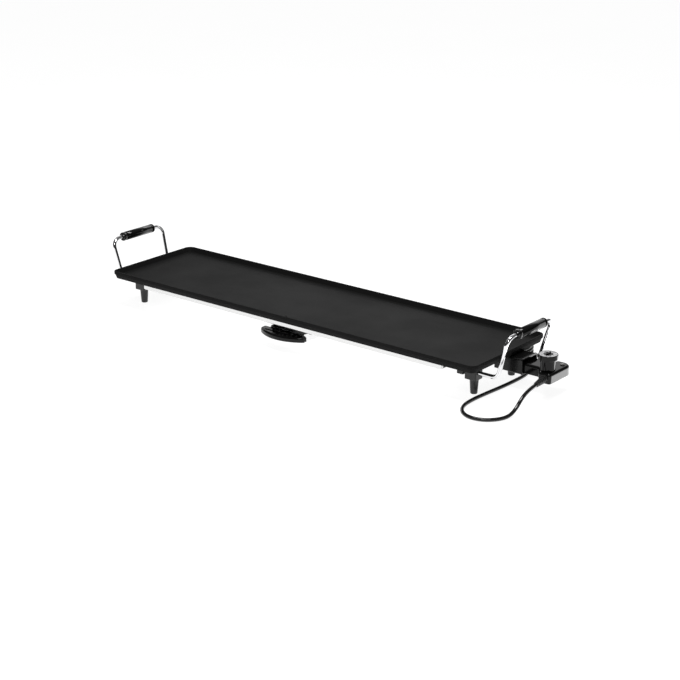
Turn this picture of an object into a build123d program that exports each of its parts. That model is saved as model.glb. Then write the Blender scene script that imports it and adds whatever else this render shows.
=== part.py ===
from build123d import *
from math import atan, cos, degrees, pi, radians, sin, tan
import os

# Tabletop electric griddle: a long cast plate on four feet, heated by a tubular element, with a
# bright reflector pan below, a grease tray that slides out at the front, two carrying handles and a
# plug-in thermostat with its cord.  Millimetres, +Z up, the table is z = 0.  While it is laid out,
# x = y = 0 is the plate's centre: +X runs to the thermostat end and -Y to the tray.  Every piece is
# then moved by TO_FRAME, so that the frame's origin is under the middle of the object's box.

os.makedirs("parts", exist_ok=True)

# ---- cooking plate ----
PLATE_LENGTH = 906.0
PLATE_WIDTH = 233.0
RIM_TOP = 74.0
RIM_HEIGHT = 15.0
LIP_HEIGHT = 6.0
LIP_STEP = 1.2
RIM_INSET = 4.6
CORNER_RADIUS = 15.0
RIM_FLAT = 3.6
RECESS_DEPTH = 9.0
RECESS_WALL_TAPER = 24.0
SKIN = 4.0
SKIRT_WALL = 4.0

# ---- heating element ----
ELEMENT_RADIUS = 4.0
ELEMENT_GAP = 0.1
ELEMENT_HALF_SPREAD = 55.0
ELEMENT_BEND = 14.0
TERMINAL_PITCH = 22.0
TERMINAL_HEIGHT = 44.0
CLIP_THICKNESS = 1.0
CLIP_WIDTH = 10.0

# ---- power inlet at the right end ----
INLET_Y = 27.0
INLET_FROM_END = 3.0
NOSE_CLEARANCE = 2.0
NOSE_FLOOR_GAP = 0.5
SHROUD_REACH = 26.0
SHROUD_LENGTH = 60.0
SHROUD_WALL = 2.0
SHROUD_BACK = 3.0
PIN_RADIUS = 2.25
PIN_TIP = 8.0
BUSH_RADIUS = 5.6
POCKET_RADIUS = 3.05
POCKET_WALL = 3.0

# ---- reflector pan ----
PAN_FROM_END = 78.0
PAN_FROM_SIDE = 11.5
PAN_BOTTOM = 47.5
PAN_SHEET = 0.8
PAN_CORNER = 8.0
PAN_SCREW_FROM_END = 45.0

# ---- feet ----
FOOT_FROM_END = 37.0
FOOT_AXIS_Y = 60.5
FOOT_BLOCK_X = 25.0
FOOT_BLOCK_Y = 22.0
FOOT_BLOCK_SHIFT = 2.5
FOOT_BLOCK_BOTTOM = 29.0
FOOT_BLOCK_TOP = 51.0
LEG_TOP_RADIUS = 8.5
LEG_BASE_RADIUS = 6.5
FOOT_BOSS_RADIUS = 7.0
FOOT_SCREW_SEAT = 30.0
FOOT_BORE_RADIUS = 4.2

# ---- screws ----
M3_RADIUS = 1.5
M4_RADIUS = 2.0
HOLE_CLEARANCE = 0.15
M3_HEAD_RADIUS = 2.7
M4_HEAD_RADIUS = 3.8
SCREW_HEAD = 2.4
SCREW_BITE = 2.4

# ---- handles ----
WIRE_RADIUS = 4.0
WIRE_Y = 67.0
WIRE_Z = 43.5
WIRE_INNER = 83.0
HANDLE_FOOT = 17.4
HANDLE_REACH = 39.0
HANDLE_TOP = 123.0
HANDLE_TOP_Y = 72.0
HANDLE_LOWER_BEND = 16.0
HANDLE_UPPER_BEND = 18.0
GRIP_RADIUS = 9.0
GRIP_LENGTH = 88.0
GRIP_COLLAR = 7.0
CLAMP_FROM_END = 60.0
CLAMP_LENGTH = 14.0
CLAMP_SCREW_Y = 57.0

# ---- grease tray ----
TRAY_X = -6.0
TRAY_WIDTH = 86.0
TRAY_DEPTH = 108.0
TRAY_FRONT = -84.0
TRAY_TOP = 33.0
TRAY_BOTTOM = 15.0
TRAY_SHEET = 1.0
TRAY_FLANGE = 6.0
TRAY_FLANGE_FRONT = -72.0
RAIL_GAP = 0.3
RAIL_SHEET = 1.0
RAIL_FLANGE = 8.0
RAIL_LEDGE = 4.5
RAIL_FRONT = -70.0
RAIL_BACK = 26.0
LIP_HALF_WIDTH = 53.0
LIP_CHORD_Y = -99.0
LIP_NOSE_Y = -117.5
LIP_BACK_Y = -85.0
LIP_SIDE_LENGTH = 10.0
LIP_BOTTOM = 23.0
LIP_TOP = 33.5
LIP_ROUNDING = 4.5
LIP_RIBS = [(-102.0, 78.0), (-90.0, 70.0)]
RIB_HEIGHT = 1.4
RIB_WIDTH = 2.2
TONGUE_HALF_WIDTH = 32.0
TONGUE_THICKNESS = 4.0
TONGUE_BOTTOM = 16.5
TONGUE_TOP = 25.0
RIVET_SPREAD = 22.0
RIVET_Z = 20.0
DRAIN_RADIUS = 4.5
DRAIN_Y = -95.0
SPOUT_OUTLET_Y = -77.0
SPOUT_BOTTOM = 39.0
SPOUT_WALL = 1.5

# ---- thermostat ----
NOSE_START = -10.0
NOSE_HALF_WIDTH = 20.0
NECK_END = 59.0
HEAD_START = 71.0
HEAD_END = 95.0
HEAD_NEAR_Y = -14.0
HEAD_FAR_Y = 60.0
HEAD_FAR_START = 66.0
HOUSING_BOTTOM = 32.5
HOUSING_SPLIT = 42.0
HOUSING_TOP = 51.5
HOUSING_WALL = 2.2
HOUSING_ROUNDING = 4.5
POST_RADIUS = 4.2
DIAL_X = 76.0
DIAL_Y = 8.0
TOWER_RADIUS = 13.6
TOWER_TOP = 71.5
DIAL_GAP = 0.3
DIAL_RADIUS = 18.0
DIAL_TOP = 81.0
SCALE_INNER = 9.0
SCALE_OUTER = 16.9
SCALE_SHEET = 0.5
SHAFT_RADIUS = 3.0
SHAFT_FIT = 0.05
POINTER_HEIGHT = 2.0
DIAL_POINTER = 90.0
PROBE_RADIUS = 3.0
PROBE_TIP = -60.0
SLEEVE_RADIUS = 3.3
SLEEVE_LENGTH = 18.2
SLEEVE_FIT = 0.06
BLOCK_START = -6.0
BLOCK_LENGTH = 13.0
LEAF_LOW = 40.8
LEAF_HIGH = 42.6
LEAF_SHEET = 0.6
LENS_X = 84.0
LENS_Y = 44.0
LENS_RADIUS = 4.2
HOUSING_SCREWS = [(87.5, 20.0), (70.0, 50.0), (73.0, -5.0), (32.0, 27.0)]

# ---- cord ----
CORD_RADIUS = 3.5
RELIEF_X = 83.0
RELIEF_Z = 41.7
RELIEF_LENGTH = 28.0
RELIEF_DIP = 8.0
RELIEF_ROOT_RADIUS = 7.0
RELIEF_TIP_RADIUS = 4.8
RELIEF_NECK_RADIUS = 5.4
RELIEF_RIBS = 6
RELIEF_RIB_WIDTH = 2.7
COIL_X = 345.0
COIL_Y = 165.0
COIL_TURN_RADIUS = 38.0
COIL_LAYERS = 2
COIL_TURNS_WIDE = 2
TIE_WIDTH = 10.0
TIE_SHEET = 0.8
TAIL_LENGTH = 28.0
PLUG_X = 302.0
PLUG_LENGTH = 38.0
PLUG_WIDTH = 26.0
PLUG_HEIGHT = 20.0
BLADE_SPREAD = 6.35
BLADE_WIDTH = 6.35
BLADE_LENGTH = 17.0

# ---- worked out from the sizes above ----
END = PLATE_LENGTH / 2
PORT = END - INLET_FROM_END
FRONT = -PLATE_WIDTH / 2
RIM_BOTTOM = RIM_TOP - RIM_HEIGHT
LIP_UNDERSIDE = RIM_TOP - LIP_HEIGHT
FLOOR_Z = RIM_TOP - RECESS_DEPTH
UNDERSIDE = FLOOR_Z - SKIN
WALL_SPREAD = RECESS_DEPTH * tan(radians(RECESS_WALL_TAPER))
POCKET_INSET = RIM_INSET + SKIRT_WALL
SKIRT_TAPER = degrees(atan((RIM_INSET - LIP_STEP) / (LIP_UNDERSIDE - RIM_BOTTOM)))
FOOT_X = END - FOOT_FROM_END
FOOT_BLOCK_CENTRE_Y = FOOT_AXIS_Y + FOOT_BLOCK_SHIFT
CLAMP_X = END - CLAMP_FROM_END
CLAMP_TOP = WIRE_Z + WIRE_RADIUS
CLAMP_BOTTOM = WIRE_Z - WIRE_RADIUS - 4.0
PAN_END = END - PAN_FROM_END
PAN_LENGTH = 2 * PAN_END
PAN_WIDTH = PLATE_WIDTH - 2 * PAN_FROM_SIDE
PAN_SCREW_SPAN = PAN_LENGTH - 2 * PAN_SCREW_FROM_END
PAN_TOP = UNDERSIDE - 0.3
ELEMENT_Z = UNDERSIDE - ELEMENT_RADIUS - ELEMENT_GAP
SHROUD_END = PORT + SHROUD_REACH
SHROUD_START = SHROUD_END - SHROUD_LENGTH
SHROUD_TOP = RIM_BOTTOM
SHROUD_BOTTOM = HOUSING_BOTTOM - NOSE_FLOOR_GAP - SHROUD_WALL
SHROUD_WIDTH = 2 * (NOSE_HALF_WIDTH + NOSE_CLEARANCE + SHROUD_WALL)
HANDLE_X = END + HANDLE_REACH
RAIL_TOP = PAN_BOTTOM
HEAD_RIGHT = PORT + HEAD_END
NOSE_X = PORT + NOSE_START
CORD_Z = CORD_RADIUS + 0.1
COIL_BAND = COIL_TURNS_WIDE * CORD_RADIUS

# The box of the object without its free cord runs from the left grip to the thermostat head, and
# from the tray's nose to the back rim.
LEFT_EXTREME = -(HANDLE_X + GRIP_RADIUS)
TO_FRAME = Location((-(LEFT_EXTREME + HEAD_RIGHT) / 2, -(LIP_NOSE_Y + PLATE_WIDTH / 2) / 2, 0))

corners = [(sx, sy) for sx in (-1, 1) for sy in (-1, 1)]
foot_places = [(sx * FOOT_X, sy * FOOT_AXIS_Y) for sx, sy in corners]
clamp_places = [(sx * CLAMP_X, sy * CLAMP_SCREW_Y) for sx, sy in corners]
pan_places = [(PAN_SCREW_SPAN * (i / 3 - 0.5), 0) for i in range(4)]
shroud_places = [(SHROUD_START + 9, INLET_Y - 14), (SHROUD_START + 9, INLET_Y + 14)]
clip_x = PLATE_LENGTH * 2 / 9
clip_centres = [(sx * clip_x, sy * ELEMENT_HALF_SPREAD) for sx, sy in corners]
CLIP_FOOT = ELEMENT_RADIUS + CLIP_THICKNESS + 4.5
clip_places = [(x, y + s * CLIP_FOOT) for x, y in clip_centres for s in (-1, 1)]
terminal_ys = [INLET_Y - TERMINAL_PITCH / 2, INLET_Y + TERMINAL_PITCH / 2]
RAIL_WEB = TRAY_WIDTH / 2 + TRAY_FLANGE + RAIL_GAP
rail_screw_x = RAIL_WEB + RAIL_SHEET + RAIL_FLANGE / 2
rail_places = [(TRAY_X + sx * rail_screw_x, y) for sx in (-1, 1) for y in (RAIL_FRONT + 12, RAIL_BACK - 12)]
housing_places = [(PORT + x, y) for x, y in HOUSING_SCREWS]
LIP_SIDE_Y = LIP_CHORD_Y + LIP_SIDE_LENGTH
rivet_places = [(TRAY_X - RIVET_SPREAD, RIVET_Z), (TRAY_X + RIVET_SPREAD, RIVET_Z)]
lip_left = TRAY_X - LIP_HALF_WIDTH
lip_right = TRAY_X + LIP_HALF_WIDTH


def upright_screws(places, head_bottom, head_radius, head_height, shank_radius, tip):
    """Screws that stand upright, head down: a domed head with a cross recess, and a plain shank."""
    with BuildPart() as screws:
        with BuildSketch(Plane.XY.offset(head_bottom)):
            with Locations(*places):
                Circle(head_radius)
        extrude(amount=head_height)
        fillet(screws.edges().group_by(Axis.Z)[0], head_height * 0.45)
        with BuildSketch(Plane.XY.offset(head_bottom + head_height)):
            with Locations(*places):
                Circle(shank_radius)
        extrude(amount=tip - head_bottom - head_height)
        chamfer(screws.edges().group_by(Axis.Z)[-1], shank_radius * 0.3)
        with BuildSketch(Plane.XY.offset(head_bottom)):
            with Locations(*places):
                Rectangle(head_radius * 1.1, head_radius * 0.25)
                Rectangle(head_radius * 0.25, head_radius * 1.1)
        extrude(amount=head_height * 0.5, mode=Mode.SUBTRACT)
    return screws.part


def keep(part, name):
    """Label one finished piece, move it into the part's frame and write it."""
    placed = part.moved(TO_FRAME)
    placed.label = name
    export_step(placed, f"parts/{name}.step")


# ================= cooking plate =================
with BuildPart() as cooking_plate:
    with BuildSketch(Plane.XY.offset(RIM_BOTTOM)):
        RectangleRounded(
            PLATE_LENGTH - 2 * RIM_INSET, PLATE_WIDTH - 2 * RIM_INSET, CORNER_RADIUS - RIM_INSET
        )
    extrude(amount=LIP_UNDERSIDE - RIM_BOTTOM, taper=-SKIRT_TAPER)
    with BuildSketch(Plane.XY.offset(LIP_UNDERSIDE)):
        RectangleRounded(PLATE_LENGTH, PLATE_WIDTH, CORNER_RADIUS)
    extrude(amount=LIP_HEIGHT)
    fillet(cooking_plate.faces().sort_by(Axis.Z)[-1].edges(), 1.2)
    # the recess that holds the food, with sloping walls
    with BuildSketch(Plane.XY.offset(FLOOR_Z)):
        RectangleRounded(
            PLATE_LENGTH - 2 * (RIM_FLAT + WALL_SPREAD),
            PLATE_WIDTH - 2 * (RIM_FLAT + WALL_SPREAD),
            CORNER_RADIUS - RIM_FLAT - WALL_SPREAD,
        )
    extrude(amount=RECESS_DEPTH, taper=-RECESS_WALL_TAPER, mode=Mode.SUBTRACT)
    # the hollow below, inside the skirt
    with BuildSketch(Plane.XY.offset(RIM_BOTTOM)):
        RectangleRounded(
            PLATE_LENGTH - 2 * POCKET_INSET, PLATE_WIDTH - 2 * POCKET_INSET, CORNER_RADIUS - POCKET_INSET
        )
    extrude(amount=UNDERSIDE - RIM_BOTTOM, mode=Mode.SUBTRACT)
    # cast bosses for the feet, handle clamps, reflector and inlet
    with BuildSketch(Plane.XY.offset(FOOT_BLOCK_TOP)):
        with Locations(*foot_places):
            Circle(FOOT_BOSS_RADIUS)
    extrude(amount=UNDERSIDE - FOOT_BLOCK_TOP)
    with BuildSketch(Plane.XY.offset(CLAMP_TOP)):
        with Locations(*clamp_places):
            Circle(M4_RADIUS + 3)
    extrude(amount=UNDERSIDE - CLAMP_TOP)
    with BuildSketch(Plane.XY.offset(PAN_BOTTOM + PAN_SHEET)):
        with Locations(*pan_places):
            Circle(M3_RADIUS + 4)
    extrude(amount=UNDERSIDE - PAN_BOTTOM - PAN_SHEET)
    with BuildSketch(Plane.XY.offset(SHROUD_TOP)):
        with Locations(*shroud_places):
            Circle(M3_RADIUS + 3)
    extrude(amount=UNDERSIDE - SHROUD_TOP)
    # the pocket that takes the thermostat's probe
    with BuildSketch(Plane.XY.offset(TERMINAL_HEIGHT - POCKET_RADIUS - POCKET_WALL)):
        with Locations((SHROUD_START - 19, INLET_Y)):
            RectangleRounded(30, 2 * (POCKET_RADIUS + POCKET_WALL), 3)
    extrude(amount=UNDERSIDE - TERMINAL_HEIGHT + POCKET_RADIUS + POCKET_WALL)
    with BuildSketch(Plane.YZ.offset(SHROUD_START - 4)):
        with Locations((INLET_Y, TERMINAL_HEIGHT)):
            Circle(POCKET_RADIUS)
    extrude(amount=-26, mode=Mode.SUBTRACT)
    # tapped holes and the grease drain
    for places, radius, start in (
        (foot_places, M4_RADIUS, FOOT_BLOCK_TOP),
        (clamp_places, M4_RADIUS, CLAMP_TOP),
        (pan_places, M3_RADIUS, PAN_BOTTOM),
        (shroud_places, M3_RADIUS, SHROUD_TOP),
        (clip_places, M3_RADIUS, UNDERSIDE - 1),
    ):
        with BuildSketch(Plane.XY.offset(start)):
            with Locations(*places):
                Circle(radius + HOLE_CLEARANCE)
        extrude(amount=UNDERSIDE + SCREW_BITE + 0.3 - start, mode=Mode.SUBTRACT)
    with BuildSketch(Plane.XY.offset(UNDERSIDE - 1)):
        with Locations((0, DRAIN_Y)):
            Circle(DRAIN_RADIUS)
    extrude(amount=SKIN + 2, mode=Mode.SUBTRACT)
keep(cooking_plate.part, "cooking_plate")

# ================= heating element and its fixings =================
element_right = PAN_END - 23
element_left = -PAN_END + 25
drop_start = SHROUD_START - 32
drop_end = SHROUD_START - 10
element_tip = SHROUD_START + 15
element_route = [
    (element_tip, terminal_ys[1], TERMINAL_HEIGHT),
    (drop_end, terminal_ys[1], TERMINAL_HEIGHT),
    (drop_start, terminal_ys[1], ELEMENT_Z),
    (element_right, terminal_ys[1], ELEMENT_Z),
    (element_right - 22, ELEMENT_HALF_SPREAD, ELEMENT_Z),
    (element_left, ELEMENT_HALF_SPREAD, ELEMENT_Z),
    (element_left, -ELEMENT_HALF_SPREAD, ELEMENT_Z),
    (element_right, -ELEMENT_HALF_SPREAD, ELEMENT_Z),
    (element_right, terminal_ys[0], ELEMENT_Z),
    (drop_start, terminal_ys[0], ELEMENT_Z),
    (drop_end, terminal_ys[0], TERMINAL_HEIGHT),
    (element_tip, terminal_ys[0], TERMINAL_HEIGHT),
]
element_radii = [9, 9, 16, 16, ELEMENT_BEND, ELEMENT_BEND, ELEMENT_BEND, ELEMENT_BEND, 9, 9]
with BuildPart() as heating_element:
    with BuildLine() as element_line:
        FilletPolyline(*element_route, radius=element_radii)
    with BuildSketch(Plane(origin=element_route[0], z_dir=(-1, 0, 0))):
        Circle(ELEMENT_RADIUS)
    sweep(path=element_line.wires()[0])
keep(heating_element.part, "heating_element")

with BuildPart() as element_clips:
    inner = ELEMENT_RADIUS + 0.1
    outer = inner + CLIP_THICKNESS
    for x, y in clip_centres:
        with BuildSketch(Plane.YZ.offset(x - CLIP_WIDTH / 2)):
            with Locations((y, ELEMENT_Z)):
                Circle(outer)
            with Locations((y, (ELEMENT_Z + UNDERSIDE) / 2)):
                Rectangle(2 * outer, UNDERSIDE - ELEMENT_Z)
            with Locations((y, UNDERSIDE - CLIP_THICKNESS / 2)):
                Rectangle(2 * CLIP_FOOT + 8, CLIP_THICKNESS)
            with Locations((y, ELEMENT_Z)):
                Circle(inner, mode=Mode.SUBTRACT)
            with Locations((y, (ELEMENT_Z + UNDERSIDE) / 2)):
                Rectangle(2 * inner, UNDERSIDE - ELEMENT_Z, mode=Mode.SUBTRACT)
            with Locations((y, UNDERSIDE + outer / 2)):
                Rectangle(2 * outer, outer, mode=Mode.SUBTRACT)
        extrude(amount=CLIP_WIDTH)
    with BuildSketch(Plane.XY.offset(UNDERSIDE - CLIP_THICKNESS)):
        with Locations(*clip_places):
            Circle(M3_RADIUS + HOLE_CLEARANCE)
    extrude(amount=CLIP_THICKNESS, mode=Mode.SUBTRACT)
keep(element_clips.part, "element_clips")

clip_head = UNDERSIDE - CLIP_THICKNESS - SCREW_HEAD
keep(
    upright_screws(clip_places, clip_head, M3_HEAD_RADIUS, SCREW_HEAD, M3_RADIUS, UNDERSIDE + SCREW_BITE),
    "clip_screws",
)

# ================= power inlet =================
shroud_mid_x = (SHROUD_START + SHROUD_END) / 2
shroud_mid_z = (SHROUD_BOTTOM + SHROUD_TOP) / 2
shroud_height = SHROUD_TOP - SHROUD_BOTTOM
with BuildPart() as inlet_shroud:
    with BuildSketch(Plane.YZ.offset(SHROUD_START)):
        with Locations((INLET_Y, shroud_mid_z)):
            RectangleRounded(SHROUD_WIDTH, shroud_height, 2.5)
    extrude(amount=SHROUD_LENGTH)
    with BuildSketch(Plane.YZ.offset(SHROUD_START + SHROUD_BACK)):
        with Locations((INLET_Y, shroud_mid_z)):
            RectangleRounded(SHROUD_WIDTH - 2 * SHROUD_WALL, shroud_height - 2 * SHROUD_WALL, 1.2)
    extrude(amount=SHROUD_LENGTH, mode=Mode.SUBTRACT)
    # a thicker bead around the mouth
    with BuildSketch(Plane.YZ.offset(SHROUD_END - 3)):
        with Locations((INLET_Y, shroud_mid_z)):
            RectangleRounded(SHROUD_WIDTH + 1.6, shroud_height + 1.6, 3.2)
            RectangleRounded(SHROUD_WIDTH - 1, shroud_height - 1, 2, mode=Mode.SUBTRACT)
    extrude(amount=3)
    with BuildSketch(Plane.YZ.offset(SHROUD_START)):
        with Locations(*[(y, TERMINAL_HEIGHT) for y in terminal_ys]):
            Circle(BUSH_RADIUS + 0.1)
        with Locations((INLET_Y, TERMINAL_HEIGHT)):
            Circle(PROBE_RADIUS + 1)
    extrude(amount=SHROUD_BACK, mode=Mode.SUBTRACT)
    with BuildSketch(Plane.XY.offset(SHROUD_TOP - SHROUD_WALL)):
        with Locations(*shroud_places):
            Circle(M3_RADIUS + HOLE_CLEARANCE)
    extrude(amount=SHROUD_WALL, mode=Mode.SUBTRACT)
keep(inlet_shroud.part, "inlet_shroud")

shroud_head = SHROUD_TOP - SHROUD_WALL - SCREW_HEAD
keep(
    upright_screws(
        shroud_places, shroud_head, M3_HEAD_RADIUS, SCREW_HEAD, M3_RADIUS, UNDERSIDE + SCREW_BITE
    ),
    "shroud_screws",
)

with BuildPart() as terminal_bushes:
    with BuildSketch(Plane.YZ.offset(SHROUD_START - 3)):
        with Locations(*[(y, TERMINAL_HEIGHT) for y in terminal_ys]):
            Circle(BUSH_RADIUS)
            Circle(ELEMENT_RADIUS + 0.1, mode=Mode.SUBTRACT)
    extrude(amount=12)
keep(terminal_bushes.part, "terminal_bushes")

pin_tip = PORT + PIN_TIP
with BuildPart() as terminal_pins:
    with BuildSketch(Plane.YZ.offset(element_tip)):
        with Locations(*[(y, TERMINAL_HEIGHT) for y in terminal_ys]):
            Circle(PIN_RADIUS)
    extrude(amount=pin_tip - element_tip)
    chamfer(terminal_pins.edges().group_by(Axis.X)[-1], 0.8)
keep(terminal_pins.part, "terminal_pins")

# ================= reflector pan =================
with BuildPart() as reflector_pan:
    with BuildSketch(Plane.XY.offset(PAN_BOTTOM)):
        RectangleRounded(PAN_LENGTH, PAN_WIDTH, PAN_CORNER)
    extrude(amount=PAN_TOP - PAN_BOTTOM)
    fillet(reflector_pan.faces().sort_by(Axis.Z)[0].edges(), 2.0)
    with BuildSketch(Plane.XY.offset(PAN_BOTTOM + PAN_SHEET)):
        RectangleRounded(PAN_LENGTH - 2 * PAN_SHEET, PAN_WIDTH - 2 * PAN_SHEET, PAN_CORNER - PAN_SHEET)
    extrude(amount=PAN_TOP - PAN_BOTTOM, mode=Mode.SUBTRACT)
    # notches for the element's two cold ends
    with BuildSketch(Plane.YZ.offset(PAN_END - 3)):
        with Locations(*[(y, ELEMENT_Z) for y in terminal_ys]):
            Rectangle(2 * ELEMENT_RADIUS + 2, 2 * ELEMENT_RADIUS + 3)
    extrude(amount=6, mode=Mode.SUBTRACT)
    with BuildSketch(Plane.XY.offset(PAN_BOTTOM)):
        with Locations(*pan_places, *rail_places):
            Circle(M3_RADIUS + HOLE_CLEARANCE)
        with Locations((0, SPOUT_OUTLET_Y - 4)):
            RectangleRounded(18, 22, 4)
    extrude(amount=3, mode=Mode.SUBTRACT)
keep(reflector_pan.part, "reflector_pan")

keep(
    upright_screws(
        pan_places, PAN_BOTTOM - SCREW_HEAD, M3_HEAD_RADIUS, SCREW_HEAD, M3_RADIUS, UNDERSIDE + SCREW_BITE
    ),
    "reflector_screws",
)

# ================= grease spout =================
with BuildPart() as drain_spout:
    with BuildSketch(Plane.XY.offset(SPOUT_BOTTOM)):
        with Locations((0, SPOUT_OUTLET_Y)):
            Circle(DRAIN_RADIUS + SPOUT_WALL)
    with BuildSketch(Plane.XY.offset(UNDERSIDE - 1)):
        with Locations((0, DRAIN_Y)):
            Circle(DRAIN_RADIUS + SPOUT_WALL)
    loft()
    with BuildSketch(Plane.XY.offset(UNDERSIDE - 1)):
        with Locations((0, DRAIN_Y)):
            Circle(DRAIN_RADIUS + SPOUT_WALL + 2)
    extrude(amount=1)
    with BuildSketch(Plane.XY.offset(SPOUT_BOTTOM)):
        with Locations((0, SPOUT_OUTLET_Y)):
            Circle(DRAIN_RADIUS)
    with BuildSketch(Plane.XY.offset(UNDERSIDE - 1)):
        with Locations((0, DRAIN_Y)):
            Circle(DRAIN_RADIUS)
    loft(mode=Mode.SUBTRACT)
    with BuildSketch(Plane.XY.offset(UNDERSIDE - 1)):
        with Locations((0, DRAIN_Y)):
            Circle(DRAIN_RADIUS)
    extrude(amount=1, mode=Mode.SUBTRACT)
keep(drain_spout.part, "drain_spout")

# ================= feet =================
foot_names = {(-1, -1): "front_left", (1, -1): "front_right", (-1, 1): "rear_left", (1, 1): "rear_right"}
for sx, sy in corners:
    with BuildPart() as foot:
        with BuildSketch(Plane.XY.offset(FOOT_BLOCK_BOTTOM)):
            with Locations((sx * FOOT_X, sy * FOOT_BLOCK_CENTRE_Y)):
                RectangleRounded(FOOT_BLOCK_X, FOOT_BLOCK_Y, 2)
        extrude(amount=FOOT_BLOCK_TOP - FOOT_BLOCK_BOTTOM)
        fillet(foot.faces().sort_by(Axis.Z)[0].edges(), 1.0)
        with BuildSketch():
            with Locations((sx * FOOT_X, sy * FOOT_AXIS_Y)):
                Circle(LEG_BASE_RADIUS)
        with BuildSketch(Plane.XY.offset(FOOT_BLOCK_BOTTOM)):
            with Locations((sx * FOOT_X, sy * FOOT_AXIS_Y)):
                Circle(LEG_TOP_RADIUS)
        loft()
        fillet(foot.faces().sort_by(Axis.Z)[0].edges(), 1.2)
        with BuildSketch():
            with Locations((sx * FOOT_X, sy * FOOT_AXIS_Y)):
                Circle(FOOT_BORE_RADIUS)
        extrude(amount=FOOT_SCREW_SEAT + SCREW_HEAD, mode=Mode.SUBTRACT)
        with BuildSketch(Plane.XY.offset(FOOT_SCREW_SEAT)):
            with Locations((sx * FOOT_X, sy * FOOT_AXIS_Y)):
                Circle(M4_RADIUS + HOLE_CLEARANCE)
        extrude(amount=FOOT_BLOCK_TOP - FOOT_SCREW_SEAT, mode=Mode.SUBTRACT)
        with BuildSketch(Plane.YZ.offset(sx * FOOT_X - FOOT_BLOCK_X)):
            with Locations((sy * WIRE_Y, WIRE_Z)):
                Circle(WIRE_RADIUS + 0.1)
        extrude(amount=2 * FOOT_BLOCK_X, mode=Mode.SUBTRACT)
    keep(foot.part, f"foot_{foot_names[(sx, sy)]}")

keep(
    upright_screws(
        foot_places, FOOT_SCREW_SEAT, M4_HEAD_RADIUS, SCREW_HEAD, M4_RADIUS, UNDERSIDE + SCREW_BITE
    ),
    "foot_screws",
)

with BuildPart() as foot_pads:
    with BuildSketch():
        with Locations(*foot_places):
            Circle(FOOT_BORE_RADIUS)
    extrude(amount=5)
keep(foot_pads.part, "foot_pads")

# ================= handles =================
for side, name in ((-1, "left"), (1, "right")):
    inner_x = side * (END - WIRE_INNER)
    foot_x = side * (END + HANDLE_FOOT)
    top_x = side * HANDLE_X
    with BuildPart() as handle_wire:
        with BuildLine() as wire_line:
            FilletPolyline(
                (inner_x, -WIRE_Y, WIRE_Z),
                (foot_x, -WIRE_Y, WIRE_Z),
                (top_x, -HANDLE_TOP_Y, HANDLE_TOP),
                (top_x, HANDLE_TOP_Y, HANDLE_TOP),
                (foot_x, WIRE_Y, WIRE_Z),
                (inner_x, WIRE_Y, WIRE_Z),
                radius=[HANDLE_LOWER_BEND, HANDLE_UPPER_BEND, HANDLE_UPPER_BEND, HANDLE_LOWER_BEND],
            )
        with BuildSketch(Plane(origin=(inner_x, -WIRE_Y, WIRE_Z), z_dir=(side, 0, 0))):
            Circle(WIRE_RADIUS)
        sweep(path=wire_line.wires()[0])
    keep(handle_wire.part, f"handle_wire_{name}")

    with BuildPart() as handle_grip:
        with BuildSketch(Plane.XZ.offset(-GRIP_LENGTH / 2)):
            with Locations((top_x, HANDLE_TOP)):
                Circle(GRIP_RADIUS)
        extrude(amount=GRIP_LENGTH)
        fillet(handle_grip.edges(), 1.2)
        # shallow grooves set off the two end collars
        for end in (-1, 1):
            groove_y = end * (GRIP_LENGTH / 2 - GRIP_COLLAR)
            with BuildSketch(Plane.XZ.offset(-groove_y - 0.6)):
                with Locations((top_x, HANDLE_TOP)):
                    Circle(GRIP_RADIUS + 1)
                    Circle(GRIP_RADIUS - 0.7, mode=Mode.SUBTRACT)
            extrude(amount=1.2, mode=Mode.SUBTRACT)
        with BuildSketch(Plane.XZ.offset(-GRIP_LENGTH / 2)):
            with Locations((top_x, HANDLE_TOP)):
                Circle(WIRE_RADIUS + 0.05)
        extrude(amount=GRIP_LENGTH, mode=Mode.SUBTRACT)
    keep(handle_grip.part, f"handle_grip_{name}")

# saddles that hold the wires' inner ends up against the plate's bosses
with BuildPart() as handle_clamps:
    clamp_inner_y = CLAMP_SCREW_Y - M4_RADIUS - 3
    clamp_outer_y = WIRE_Y + WIRE_RADIUS + 2.5
    for sx, sy in corners:
        with BuildSketch(Plane.XY.offset(CLAMP_BOTTOM)):
            with Locations((sx * CLAMP_X, sy * (clamp_inner_y + clamp_outer_y) / 2)):
                RectangleRounded(CLAMP_LENGTH, clamp_outer_y - clamp_inner_y, 2)
        extrude(amount=CLAMP_TOP - CLAMP_BOTTOM)
        with BuildSketch(Plane.YZ.offset(sx * CLAMP_X - CLAMP_LENGTH)):
            with Locations((sy * WIRE_Y, WIRE_Z)):
                Circle(WIRE_RADIUS + 0.1)
            with Locations((sy * WIRE_Y, WIRE_Z + WIRE_RADIUS)):
                Rectangle(2 * WIRE_RADIUS + 0.2, 2 * WIRE_RADIUS)
        extrude(amount=2 * CLAMP_LENGTH, mode=Mode.SUBTRACT)
    with BuildSketch(Plane.XY.offset(CLAMP_BOTTOM)):
        with Locations(*clamp_places):
            Circle(M4_RADIUS + HOLE_CLEARANCE)
    extrude(amount=CLAMP_TOP - CLAMP_BOTTOM, mode=Mode.SUBTRACT)
keep(handle_clamps.part, "handle_clamps")

keep(
    upright_screws(
        clamp_places, CLAMP_BOTTOM - 3.2, M4_HEAD_RADIUS + 0.6, 3.2, M4_RADIUS, UNDERSIDE + SCREW_BITE
    ),
    "clamp_screws",
)

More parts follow.
